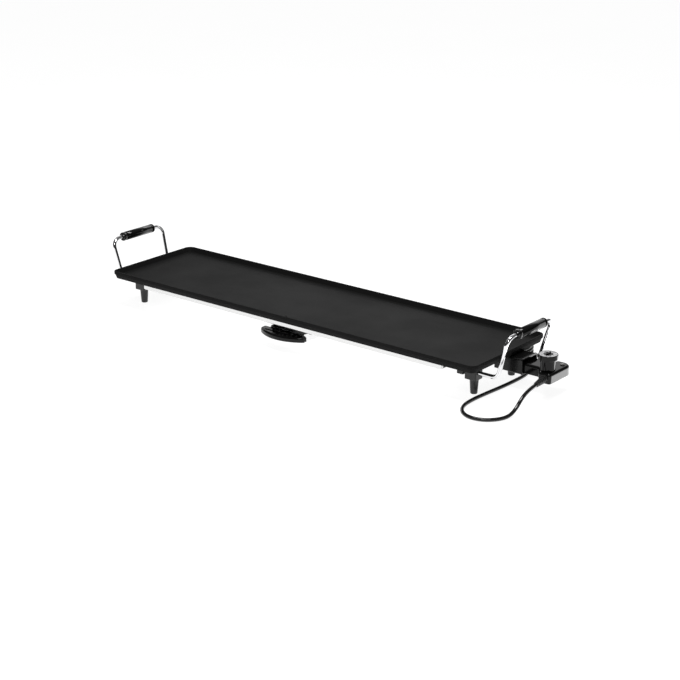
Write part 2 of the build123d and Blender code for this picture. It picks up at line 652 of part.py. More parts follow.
# ================= grease tray =================
tray_mid_y = TRAY_FRONT + TRAY_DEPTH / 2
with BuildPart() as drip_tray:
    with BuildSketch(Plane.XY.offset(TRAY_BOTTOM)):
        with Locations((TRAY_X, tray_mid_y)):
            RectangleRounded(TRAY_WIDTH, TRAY_DEPTH, 5)
    extrude(amount=TRAY_TOP - TRAY_BOTTOM)
    fillet(drip_tray.faces().sort_by(Axis.Z)[0].edges(), 3)
    with BuildSketch(Plane.XY.offset(TRAY_TOP - TRAY_SHEET)):
        with Locations((TRAY_X, (TRAY_FLANGE_FRONT + TRAY_FRONT + TRAY_DEPTH) / 2)):
            RectangleRounded(TRAY_WIDTH + 2 * TRAY_FLANGE, TRAY_FRONT + TRAY_DEPTH - TRAY_FLANGE_FRONT, 3)
    extrude(amount=TRAY_SHEET)
    with BuildSketch(Plane.XY.offset(TRAY_BOTTOM + TRAY_SHEET)):
        with Locations((TRAY_X, tray_mid_y)):
            RectangleRounded(TRAY_WIDTH - 2 * TRAY_SHEET, TRAY_DEPTH - 2 * TRAY_SHEET, 4)
    extrude(amount=TRAY_TOP - TRAY_BOTTOM, mode=Mode.SUBTRACT)
    with BuildSketch(Plane.XZ.offset(-TRAY_FRONT)):
        with Locations(*rivet_places):
            Circle(M3_RADIUS + HOLE_CLEARANCE)
    extrude(amount=-2 * TRAY_SHEET, mode=Mode.SUBTRACT)
keep(drip_tray.part, "drip_tray")

# the moulded pull in front of the tray: a bowed plate with two ribs and a tongue riveted to the tray
with BuildPart() as tray_handle:
    with BuildSketch(Plane.XY.offset(LIP_BOTTOM)):
        with BuildLine():
            ThreePointArc((lip_left, LIP_CHORD_Y), (TRAY_X, LIP_NOSE_Y), (lip_right, LIP_CHORD_Y))
            Polyline(
                (lip_right, LIP_CHORD_Y),
                (lip_right + 1, LIP_SIDE_Y),
                (lip_right - 2, LIP_BACK_Y),
                (lip_left + 2, LIP_BACK_Y),
                (lip_left - 1, LIP_SIDE_Y),
                (lip_left, LIP_CHORD_Y),
            )
        make_face()
        fillet(vertices().group_by(Axis.Y)[0], 6)
        fillet(vertices().group_by(Axis.Y)[-1], 6)
    extrude(amount=LIP_TOP - LIP_BOTTOM)
    fillet(tray_handle.faces().sort_by(Axis.Z)[-1].edges(), LIP_ROUNDING)
    fillet(tray_handle.faces().sort_by(Axis.Z)[0].edges(), 1.2)
    for rib_y, rib_length in LIP_RIBS:
        with BuildSketch(Plane.XY.offset(LIP_TOP)):
            with Locations((TRAY_X, rib_y)):
                SlotOverall(rib_length, RIB_WIDTH)
        extrude(amount=RIB_HEIGHT)
    with BuildSketch(Plane.XZ.offset(-TRAY_FRONT)):
        with Locations((TRAY_X, (TONGUE_BOTTOM + TONGUE_TOP) / 2)):
            Rectangle(2 * TONGUE_HALF_WIDTH, TONGUE_TOP - TONGUE_BOTTOM)
    extrude(amount=TONGUE_THICKNESS)
    with BuildSketch(Plane.XZ.offset(-TRAY_FRONT)):
        with Locations(*rivet_places):
            Circle(M3_RADIUS + HOLE_CLEARANCE)
    extrude(amount=TONGUE_THICKNESS, mode=Mode.SUBTRACT)
keep(tray_handle.part, "tray_handle")

with BuildPart() as tray_rivets:
    with BuildSketch(Plane.XZ.offset(-TRAY_FRONT - TRAY_SHEET - 1.2)):
        with Locations(*rivet_places):
            Circle(M3_RADIUS + 1.2)
    extrude(amount=1.2)
    with BuildSketch(Plane.XZ.offset(-TRAY_FRONT - TRAY_SHEET)):
        with Locations(*rivet_places):
            Circle(M3_RADIUS)
    extrude(amount=TRAY_SHEET + TONGUE_THICKNESS)
    with BuildSketch(Plane.XZ.offset(-TRAY_FRONT + TONGUE_THICKNESS)):
        with Locations(*rivet_places):
            Circle(M3_RADIUS + 1.2)
    extrude(amount=1.2)
    fillet(tray_rivets.faces().sort_by(Axis.Y)[0:2].edges(), 0.6)
keep(tray_rivets.part, "tray_rivets")

# rails hung from the reflector, with a ledge under each of the tray's flanges
ledge_top = TRAY_TOP - TRAY_SHEET - RAIL_GAP
for side, name in ((-1, "left"), (1, "right")):
    ledge_in = TRAY_X + side * (RAIL_WEB - RAIL_LEDGE)
    web_in = TRAY_X + side * RAIL_WEB
    web_out = TRAY_X + side * (RAIL_WEB + RAIL_SHEET)
    flange_out = TRAY_X + side * (RAIL_WEB + RAIL_SHEET + RAIL_FLANGE)
    with BuildPart() as tray_rail:
        with BuildSketch(Plane.XZ.offset(-RAIL_BACK)):
            with BuildLine():
                Polyline(
                    (ledge_in, ledge_top),
                    (web_in, ledge_top),
                    (web_in, RAIL_TOP),
                    (flange_out, RAIL_TOP),
                    (flange_out, RAIL_TOP - RAIL_SHEET),
                    (web_out, RAIL_TOP - RAIL_SHEET),
                    (web_out, ledge_top - RAIL_SHEET),
                    (ledge_in, ledge_top - RAIL_SHEET),
                    close=True,
                )
            make_face()
        extrude(amount=RAIL_BACK - RAIL_FRONT)
        # a tab across the rail's back end stops the tray
        with BuildSketch(Plane.XZ.offset(-RAIL_BACK)):
            with Locations(((ledge_in + web_in) / 2, (ledge_top + TRAY_TOP + 2) / 2)):
                Rectangle(RAIL_LEDGE, TRAY_TOP + 2 - ledge_top)
        extrude(amount=RAIL_SHEET)
        with BuildSketch(Plane.XY.offset(RAIL_TOP - RAIL_SHEET)):
            with Locations(*[place for place in rail_places if place[0] * side > 0]):
                Circle(M3_RADIUS + HOLE_CLEARANCE)
        extrude(amount=RAIL_SHEET, mode=Mode.SUBTRACT)
    keep(tray_rail.part, f"tray_rail_{name}")

keep(
    upright_screws(
        rail_places,
        RAIL_TOP - RAIL_SHEET - SCREW_HEAD,
        M3_HEAD_RADIUS,
        SCREW_HEAD,
        M3_RADIUS,
        PAN_BOTTOM + PAN_SHEET + SCREW_BITE,
    ),
    "rail_screws",
)

# ================= thermostat =================
outline = [
    (NOSE_X, INLET_Y - NOSE_HALF_WIDTH),
    (PORT + NECK_END, INLET_Y - NOSE_HALF_WIDTH),
    (PORT + HEAD_START, HEAD_NEAR_Y),
    (HEAD_RIGHT, HEAD_NEAR_Y),
    (HEAD_RIGHT, HEAD_FAR_Y),
    (PORT + HEAD_FAR_START, HEAD_FAR_Y),
    (PORT + NECK_END, INLET_Y + NOSE_HALF_WIDTH),
    (NOSE_X, INLET_Y + NOSE_HALF_WIDTH),
]
outline_radii = [5, 8, 6, 5, 15, 6, 5, 5]


def housing_half(lower, upper, closed_at, rounding, post_radius):
    """One half of the thermostat's shell, between two heights, open on the side away from closed_at."""
    inner_low = lower + (HOUSING_WALL if closed_at == lower else 0)
    inner_high = upper - (HOUSING_WALL if closed_at == upper else 0)
    with BuildPart() as half:
        with BuildSketch(Plane.XY.offset(lower)):
            with BuildLine():
                FilletPolyline(*outline, radius=outline_radii, close=True)
            make_face()
        extrude(amount=upper - lower)
        outer_face = half.faces().sort_by(Axis.Z)[0 if closed_at == lower else -1]
        fillet(outer_face.edges(), rounding)
        with BuildSketch(Plane.XY.offset(inner_low)):
            with BuildLine():
                FilletPolyline(*outline, radius=outline_radii, close=True)
            make_face()
            offset(amount=-HOUSING_WALL, mode=Mode.REPLACE)
        extrude(amount=inner_high - inner_low, mode=Mode.SUBTRACT)
        with BuildSketch(Plane.XY.offset(inner_low)):
            with Locations(*housing_places):
                Circle(post_radius)
        extrude(amount=inner_high - inner_low)
        with BuildSketch(Plane.YZ.offset(NOSE_X)):
            with Locations(*[(y, TERMINAL_HEIGHT) for y in terminal_ys]):
                Circle(SLEEVE_RADIUS + 0.15)
            with Locations((INLET_Y, TERMINAL_HEIGHT)):
                Circle(PROBE_RADIUS + 0.15)
        extrude(amount=HOUSING_WALL, mode=Mode.SUBTRACT)
        with BuildSketch(Plane.XZ.offset(-HEAD_NEAR_Y - HOUSING_WALL)):
            with Locations((PORT + RELIEF_X, RELIEF_Z)):
                Circle(RELIEF_NECK_RADIUS + 0.15)
        extrude(amount=HOUSING_WALL + 1, mode=Mode.SUBTRACT)
    return half.part


with BuildPart() as thermostat_base:
    add(housing_half(HOUSING_BOTTOM, HOUSING_SPLIT, HOUSING_BOTTOM, 1.2, POST_RADIUS))
    with BuildSketch(Plane.XY.offset(HOUSING_BOTTOM + HOUSING_WALL)):
        with Locations((PORT + LENS_X, LENS_Y)):
            Circle(LENS_RADIUS - 1)
    extrude(amount=2)
    with BuildSketch(Plane.XY.offset(HOUSING_BOTTOM)):
        with Locations(*housing_places):
            Circle(M3_HEAD_RADIUS + 0.15)
    extrude(amount=SCREW_HEAD + 0.2, mode=Mode.SUBTRACT)
    with BuildSketch(Plane.XY.offset(HOUSING_BOTTOM)):
        with Locations(*housing_places):
            Circle(M3_RADIUS + HOLE_CLEARANCE)
    extrude(amount=HOUSING_SPLIT - HOUSING_BOTTOM, mode=Mode.SUBTRACT)
keep(thermostat_base.part, "thermostat_base")

with BuildPart() as thermostat_cover:
    add(housing_half(HOUSING_SPLIT, HOUSING_TOP, HOUSING_TOP, HOUSING_ROUNDING, POST_RADIUS - 0.8))
    # the fixed tower below the dial, begun below the shell's rounded edge
    with BuildSketch(Plane.XY.offset(HOUSING_TOP - HOUSING_ROUNDING)):
        with Locations((PORT + DIAL_X, DIAL_Y)):
            Circle(TOWER_RADIUS)
    extrude(amount=TOWER_TOP - HOUSING_TOP + HOUSING_ROUNDING)
    with BuildSketch(Plane.XY.offset(HOUSING_TOP - HOUSING_ROUNDING)):
        with Locations((PORT + DIAL_X, DIAL_Y)):
            Circle(TOWER_RADIUS - HOUSING_WALL)
    extrude(amount=TOWER_TOP - HOUSING_TOP + HOUSING_ROUNDING - HOUSING_WALL, mode=Mode.SUBTRACT)
    with BuildSketch(Plane.XY.offset(HOUSING_SPLIT)):
        with Locations(*housing_places):
            Circle(M3_RADIUS + HOLE_CLEARANCE)
    extrude(amount=6, mode=Mode.SUBTRACT)
    with BuildSketch(Plane.XY.offset(TOWER_TOP)):
        with Locations((PORT + DIAL_X, DIAL_Y)):
            Circle(SHAFT_RADIUS + SHAFT_FIT)
    extrude(amount=-2 * HOUSING_WALL, mode=Mode.SUBTRACT)
    with BuildSketch(Plane.XY.offset(HOUSING_TOP)):
        with Locations((PORT + LENS_X, LENS_Y)):
            Circle(LENS_RADIUS - 0.9)
    extrude(amount=-HOUSING_WALL, mode=Mode.SUBTRACT)
keep(thermostat_cover.part, "thermostat_cover")

keep(
    upright_screws(
        housing_places, HOUSING_BOTTOM + 0.2, M3_HEAD_RADIUS, SCREW_HEAD, M3_RADIUS, HOUSING_SPLIT + 5.5
    ),
    "housing_screws",
)

with BuildPart() as thermostat_probe:
    with BuildSketch(Plane.YZ.offset(PORT + PROBE_TIP)):
        with Locations((INLET_Y, TERMINAL_HEIGHT)):
            Circle(PROBE_RADIUS)
    extrude(amount=BLOCK_START + 6 - PROBE_TIP)
    fillet(thermostat_probe.edges().group_by(Axis.X)[0], PROBE_RADIUS * 0.8)
keep(thermostat_probe.part, "thermostat_probe")

with BuildPart() as contact_sleeves:
    with BuildSketch(Plane.YZ.offset(NOSE_X + 0.4)):
        with Locations(*[(y, TERMINAL_HEIGHT) for y in terminal_ys]):
            Circle(SLEEVE_RADIUS)
            Circle(PIN_RADIUS + SLEEVE_FIT, mode=Mode.SUBTRACT)
    extrude(amount=SLEEVE_LENGTH)
keep(contact_sleeves.part, "contact_sleeves")

with BuildPart() as contact_block:
    with BuildSketch(Plane.XY.offset(HOUSING_BOTTOM + HOUSING_WALL)):
        with Locations((PORT + BLOCK_START + BLOCK_LENGTH / 2, INLET_Y)):
            Rectangle(BLOCK_LENGTH, 2 * (NOSE_HALF_WIDTH - HOUSING_WALL - 0.3))
    extrude(amount=HOUSING_TOP - HOUSING_BOTTOM - 2 * HOUSING_WALL)
    with BuildSketch(Plane.YZ.offset(PORT + BLOCK_START)):
        with Locations(*[(y, TERMINAL_HEIGHT) for y in terminal_ys]):
            Circle(SLEEVE_RADIUS)
    extrude(amount=BLOCK_LENGTH, mode=Mode.SUBTRACT)
    with BuildSketch(Plane.YZ.offset(PORT + BLOCK_START)):
        with Locations((INLET_Y, TERMINAL_HEIGHT)):
            Circle(PROBE_RADIUS)
    extrude(amount=6, mode=Mode.SUBTRACT)
keep(contact_block.part, "contact_block")

# a ceramic stack on the base with two spring leaves below the dial's shaft
stack_x = PORT + DIAL_X
stack_y = DIAL_Y + 26
with BuildPart() as switch_stack:
    with BuildSketch(Plane.XY.offset(HOUSING_BOTTOM + HOUSING_WALL)):
        with Locations((stack_x, stack_y)):
            RectangleRounded(10, 9, 1)
    extrude(amount=LEAF_LOW - HOUSING_BOTTOM - HOUSING_WALL)
    for leaf_z in (LEAF_LOW, LEAF_HIGH):
        with BuildSketch(Plane.XY.offset(leaf_z + LEAF_SHEET)):
            with Locations((stack_x, stack_y)):
                RectangleRounded(10, 9, 1)
        extrude(amount=LEAF_HIGH - LEAF_LOW - LEAF_SHEET)
keep(switch_stack.part, "switch_stack")

with BuildPart() as switch_leaves:
    for leaf_z in (LEAF_LOW, LEAF_HIGH):
        with BuildSketch(Plane.XY.offset(leaf_z)):
            with Locations((stack_x, (stack_y + 4 + DIAL_Y - 5) / 2)):
                RectangleRounded(6, stack_y + 4 - DIAL_Y + 5, 1.5)
        extrude(amount=LEAF_SHEET)
keep(switch_leaves.part, "switch_leaves")

with BuildPart() as pilot_lamp:
    with BuildSketch(Plane.XY.offset(HOUSING_BOTTOM + HOUSING_WALL + 2)):
        with Locations((PORT + LENS_X, LENS_Y)):
            Circle(LENS_RADIUS - 1.6)
    extrude(amount=10)
    fillet(pilot_lamp.edges().group_by(Axis.Z)[-1], 1.8)
keep(pilot_lamp.part, "pilot_lamp")

with BuildPart() as pilot_lens:
    with BuildSketch(Plane.XY.offset(HOUSING_TOP)):
        with Locations((PORT + LENS_X, LENS_Y)):
            Circle(LENS_RADIUS)
    extrude(amount=2.4)
    fillet(pilot_lens.edges().group_by(Axis.Z)[-1], 1.9)
    with BuildSketch(Plane.XY.offset(HOUSING_TOP - HOUSING_WALL)):
        with Locations((PORT + LENS_X, LENS_Y)):
            Circle(LENS_RADIUS - 0.9)
    extrude(amount=HOUSING_WALL)
keep(pilot_lens.part, "pilot_lens")

# ================= dial =================
with BuildPart() as dial_shaft:
    with BuildSketch(Plane.XY.offset(LEAF_HIGH + LEAF_SHEET + 0.4)):
        with Locations((PORT + DIAL_X, DIAL_Y)):
            Circle(SHAFT_RADIUS)
    extrude(amount=TOWER_TOP + DIAL_GAP + 5 - LEAF_HIGH - LEAF_SHEET - 0.4)
keep(dial_shaft.part, "dial_shaft")

with BuildPart() as dial_knob:
    with BuildSketch(Plane.XY.offset(TOWER_TOP + DIAL_GAP)):
        with Locations((PORT + DIAL_X, DIAL_Y)):
            Circle(DIAL_RADIUS)
    extrude(amount=DIAL_TOP - TOWER_TOP - DIAL_GAP)
    fillet(dial_knob.edges().group_by(Axis.Z)[-1], 1.0)
    fillet(dial_knob.edges().group_by(Axis.Z)[0], 0.5)
    with BuildSketch(Plane.XY.offset(DIAL_TOP)):
        with Locations((PORT + DIAL_X, DIAL_Y)):
            Circle(SCALE_OUTER + 0.05)
            Circle(SCALE_INNER - 0.05, mode=Mode.SUBTRACT)
    extrude(amount=-SCALE_SHEET - 0.3, mode=Mode.SUBTRACT)
    with BuildSketch(Plane.XY.offset(TOWER_TOP + DIAL_GAP)):
        with Locations((PORT + DIAL_X, DIAL_Y)):
            Circle(SHAFT_RADIUS)
    extrude(amount=5, mode=Mode.SUBTRACT)
    with BuildSketch(Plane.XY.offset(DIAL_TOP)):
        with Locations((PORT + DIAL_X, DIAL_Y)):
            SlotOverall(2 * SCALE_INNER - 3, 3.0, rotation=DIAL_POINTER)
    extrude(amount=POINTER_HEIGHT)
keep(dial_knob.part, "dial_knob")

with BuildPart() as dial_scale_ring:
    with BuildSketch(Plane.XY.offset(DIAL_TOP - SCALE_SHEET - 0.3)):
        with Locations((PORT + DIAL_X, DIAL_Y)):
            Circle(SCALE_OUTER)
            Circle(SCALE_INNER, mode=Mode.SUBTRACT)
    extrude(amount=SCALE_SHEET)
keep(dial_scale_ring.part, "dial_scale_ring")

# ================= cord =================
relief_root = Vector(PORT + RELIEF_X, HEAD_NEAR_Y, RELIEF_Z)
relief_way = Vector(0, -cos(radians(RELIEF_DIP)), -sin(radians(RELIEF_DIP)))
with BuildPart() as strain_relief:
    with BuildSketch(Plane.XZ.offset(-HEAD_NEAR_Y)):
        with Locations((PORT + RELIEF_X, RELIEF_Z)):
            Circle(RELIEF_ROOT_RADIUS + 0.4)
    extrude(amount=1.6)
    with BuildSketch(Plane.XZ.offset(-HEAD_NEAR_Y - HOUSING_WALL)):
        with Locations((PORT + RELIEF_X, RELIEF_Z)):
            Circle(RELIEF_NECK_RADIUS)
    extrude(amount=HOUSING_WALL)
    with BuildSketch(Plane.XZ.offset(-HEAD_NEAR_Y - HOUSING_WALL - 2.5)):
        with Locations((PORT + RELIEF_X, RELIEF_Z)):
            Circle(RELIEF_ROOT_RADIUS - 0.2)
    extrude(amount=2.5)
    with BuildSketch(Plane(origin=relief_root + relief_way * 1.1, z_dir=relief_way)):
        Circle(RELIEF_ROOT_RADIUS - 1.4)
    with BuildSketch(Plane(origin=relief_root + relief_way * RELIEF_LENGTH, z_dir=relief_way)):
        Circle(RELIEF_TIP_RADIUS - 0.9)
    loft()
    for i in range(RELIEF_RIBS):
        along = 1.1 + (RELIEF_LENGTH - 1.1) * i / RELIEF_RIBS
        rib_radius = RELIEF_ROOT_RADIUS + (RELIEF_TIP_RADIUS - RELIEF_ROOT_RADIUS) * i / (RELIEF_RIBS - 1)
        with BuildSketch(Plane(origin=relief_root + relief_way * along, z_dir=relief_way)):
            Circle(rib_radius)
        extrude(amount=RELIEF_RIB_WIDTH)
keep(strain_relief.part, "strain_relief")

cord_start = relief_root + relief_way * RELIEF_LENGTH
cord_route = [
    cord_start,
    cord_start + relief_way * 20,
    (533, -83, 27.5),
    (533, -103, 11),
    (532, -123, CORD_Z),
    (524, -147, CORD_Z),
    (505, -164.5, CORD_Z),
    (479, -168, CORD_Z),
    (455.5, -155, CORD_Z),
    (441.5, -132, CORD_Z),
    (437, -100, CORD_Z),
    (439, -55, CORD_Z),
    (443, -5, CORD_Z),
    (444, 42, CORD_Z),
    (441, 78, CORD_Z),
    (427, 106, CORD_Z),
    (402, 121.5, CORD_Z),
    (377, 123.5, CORD_Z),
    (356, 123.5, CORD_Z),
]


def bend_radii(points):
    """The largest smooth bend at each inner corner: 0.45 of its shorter run over tan(turn / 2)."""
    radii = []
    for a, b, c in zip(points, points[1:], points[2:]):
        first = Vector(b) - Vector(a)
        second = Vector(c) - Vector(b)
        turn = radians(first.get_angle(second))
        radii.append(0.45 * min(first.length, second.length) / tan(turn / 2))
    return radii


cord_radii = bend_radii(cord_route)
with BuildPart() as cord_lead:
    with BuildLine() as cord_line:
        FilletPolyline(*cord_route, radius=cord_radii)
    with BuildSketch(Plane(origin=cord_start, z_dir=relief_way)):
        Circle(CORD_RADIUS)
    sweep(path=cord_line.wires()[0])
keep(cord_lead.part, "cord_lead")

coil_inner = COIL_TURN_RADIUS - COIL_BAND
coil_outer = COIL_TURN_RADIUS + COIL_BAND
coil_height = 2 * COIL_LAYERS * CORD_RADIUS
with BuildPart() as cord_coil:
    with BuildSketch(Plane.XY.offset(CORD_Z - CORD_RADIUS)):
        with Locations((COIL_X, COIL_Y)):
            Circle(coil_outer)
            Circle(coil_inner, mode=Mode.SUBTRACT)
    extrude(amount=coil_height)
    fillet(cord_coil.edges(), CORD_RADIUS * 0.8)
keep(cord_coil.part, "cord_coil")

# a strap over the coil's far side
tie_top = CORD_Z - CORD_RADIUS + coil_height
tie_y = COIL_Y + COIL_TURN_RADIUS
with BuildPart() as coil_tie:
    with BuildSketch(Plane.YZ.offset(COIL_X - TIE_WIDTH / 2)):
        with Locations((tie_y, (tie_top + TIE_SHEET) / 2)):
            Rectangle(2 * COIL_BAND + 3 * TIE_SHEET, tie_top + TIE_SHEET)
        with Locations((tie_y, tie_top / 2)):
            Rectangle(2 * COIL_BAND + TIE_SHEET, tie_top, mode=Mode.SUBTRACT)
    extrude(amount=TIE_WIDTH)
keep(coil_tie.part, "coil_tie")

tail_y = COIL_Y - COIL_TURN_RADIUS - COIL_BAND + CORD_RADIUS
tail_z = CORD_Z + 2 * CORD_RADIUS * (COIL_LAYERS - 1)
with BuildPart() as cord_tail:
    with BuildSketch(Plane.YZ.offset(PLUG_X)):
        with Locations((tail_y, tail_z)):
            Circle(CORD_RADIUS)
    extrude(amount=TAIL_LENGTH)
keep(cord_tail.part, "cord_tail")

with BuildPart() as plug_body:
    with BuildSketch(Plane.YZ.offset(PLUG_X)):
        with Locations((tail_y, tail_z)):
            RectangleRounded(11, 10, 4)
    with BuildSketch(Plane.YZ.offset(PLUG_X - 16)):
        with Locations((tail_y, tail_z)):
            RectangleRounded(PLUG_WIDTH, PLUG_HEIGHT, 6)
    loft()
    with BuildSketch(Plane.YZ.offset(PLUG_X - PLUG_LENGTH)):
        with Locations((tail_y, tail_z)):
            RectangleRounded(PLUG_WIDTH, PLUG_HEIGHT, 6)
    extrude(amount=PLUG_LENGTH - 16)
keep(plug_body.part, "plug_body")

with BuildPart() as plug_blades:
    for side in (-1, 1):
        with BuildSketch(Plane.YZ.offset(PLUG_X - PLUG_LENGTH)):
            with Locations((tail_y + side * BLADE_SPREAD, tail_z)):
                Rectangle(1.5, BLADE_WIDTH)
        extrude(amount=-BLADE_LENGTH)
    chamfer(plug_blades.edges().group_by(Axis.X)[0], 0.5)
keep(plug_blades.part, "plug_blades")

coil_cord = 2 * pi * COIL_TURN_RADIUS * COIL_LAYERS * COIL_TURNS_WIDE
cord_length = cord_line.wires()[0].length + coil_cord + TAIL_LENGTH
print("cord bend radii", [round(radius, 1) for radius in cord_radii])
print("cord lead length", round(cord_line.wires()[0].length, 1), "whole cord", round(cord_length, 1))
lead_volume = cord_lead.part.volume
print("cord lead volume against section times length", round(
    lead_volume / (pi * CORD_RADIUS**2 * cord_line.wires()[0].length), 4
))
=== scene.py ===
"""Dressed model of a long electric griddle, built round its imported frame."""
import logging
import math
from dataclasses import dataclass
from enum import Enum

import bpy
import numpy as np
from mathutils import Matrix, Vector


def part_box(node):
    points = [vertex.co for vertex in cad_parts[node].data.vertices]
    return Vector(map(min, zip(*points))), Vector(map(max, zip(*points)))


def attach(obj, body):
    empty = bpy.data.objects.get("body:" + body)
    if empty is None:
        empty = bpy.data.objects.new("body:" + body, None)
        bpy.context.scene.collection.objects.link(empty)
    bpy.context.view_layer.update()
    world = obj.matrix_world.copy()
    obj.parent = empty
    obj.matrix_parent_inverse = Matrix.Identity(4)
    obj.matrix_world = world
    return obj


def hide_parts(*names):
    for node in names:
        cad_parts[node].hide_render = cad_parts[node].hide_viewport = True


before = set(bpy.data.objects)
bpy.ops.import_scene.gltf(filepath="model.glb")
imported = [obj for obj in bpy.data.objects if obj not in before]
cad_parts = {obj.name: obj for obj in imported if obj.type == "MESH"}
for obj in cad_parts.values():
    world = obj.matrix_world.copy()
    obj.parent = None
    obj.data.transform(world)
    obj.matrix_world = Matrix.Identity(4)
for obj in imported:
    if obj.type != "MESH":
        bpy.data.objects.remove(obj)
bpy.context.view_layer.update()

LOG = logging.getLogger("griddle")
MM = 0.001
MIX_FIRST, MIX_SECOND, MIX_RESULT = 6, 7, 2  # the colour sockets of a Mix node
Colour = tuple[float, float, float]
Point = tuple[float, float, float]


class Body(Enum):
    """The rigid bodies that a piece can ride on."""

    GRIDDLE = "griddle"
    TRAY = "tray"
    THERMOSTAT = "thermostat"
    DIAL = "dial"


# ---------------------------------------------------------------- node trees


class Graph:
    """A node tree with short calls for adding and joining nodes."""

    def __init__(self, tree: bpy.types.NodeTree) -> None:
        """Wraps one tree.

        Args:
            tree: the material's or the group's node tree.
        """
        self.tree = tree

    def add(self, kind: str, **values: object) -> bpy.types.Node:
        """Adds one node.

        Args:
            kind: the node's type name, without the leading ShaderNode.
            values: settings by property name; a name in title case with underscores is a socket.

        Returns:
            The new node.
        """
        node = self.tree.nodes.new("ShaderNode" + kind)
        for key, value in values.items():
            if key[0].isupper():
                node.inputs[key.replace("_", " ")].default_value = value
            else:
                setattr(node, key, value)
        return node

    def link(self, source: bpy.types.NodeSocket, target: bpy.types.NodeSocket) -> None:
        """Joins an output to an input.

        Args:
            source: the output.
            target: the input.
        """
        self.tree.links.new(source, target)

    def ramp(self, source: bpy.types.NodeSocket, stops: list[tuple[float, float]]) -> bpy.types.Node:
        """Passes a value through a grey ramp.

        Args:
            source: the value that goes in.
            stops: pairs of position and grey.

        Returns:
            The ramp's node.
        """
        node = self.add("ValToRGB")
        elements = node.color_ramp.elements
        while len(elements) < len(stops):
            elements.new(0.5)
        for element, (position, grey) in zip(elements, stops):
            element.position = position
            element.color = (grey, grey, grey, 1)
        self.link(source, node.inputs["Fac"])
        return node

    def mix(self, factor: bpy.types.NodeSocket, first: Colour, second: Colour) -> bpy.types.NodeSocket:
        """Mixes two colours by a mask.

        Args:
            factor: the mask.
            first: the colour where the mask is 0.
            second: the colour where the mask is 1.

        Returns:
            The mixed colour's socket.
        """
        node = self.add("Mix", data_type="RGBA")
        node.inputs[MIX_FIRST].default_value = (*first, 1)
        node.inputs[MIX_SECOND].default_value = (*second, 1)
        self.link(factor, node.inputs[0])
        return node.outputs[MIX_RESULT]


def new_group(
    name: str, inputs: dict[str, float | None], outputs: list[str]
) -> tuple[Graph, bpy.types.Node, bpy.types.Node]:
    """Makes an empty node group with named sockets.

    Args:
        name: the group's name.
        inputs: socket names with their default, or None for a vector.
        outputs: names of the value sockets that it puts out.

    Returns:
        The group's graph, its input node and its output node.
    """
    tree = bpy.data.node_groups.new(name, "ShaderNodeTree")
    for label, default in inputs.items():
        kind = "NodeSocketVector" if default is None else "NodeSocketFloat"
        socket = tree.interface.new_socket(label, in_out="INPUT", socket_type=kind)
        if default is not None:
            socket.default_value = default
    for label in outputs:
        tree.interface.new_socket(label, in_out="OUTPUT", socket_type="NodeSocketFloat")
    start = tree.nodes.new("NodeGroupInput")
    end = tree.nodes.new("NodeGroupOutput")
    return Graph(tree), start, end


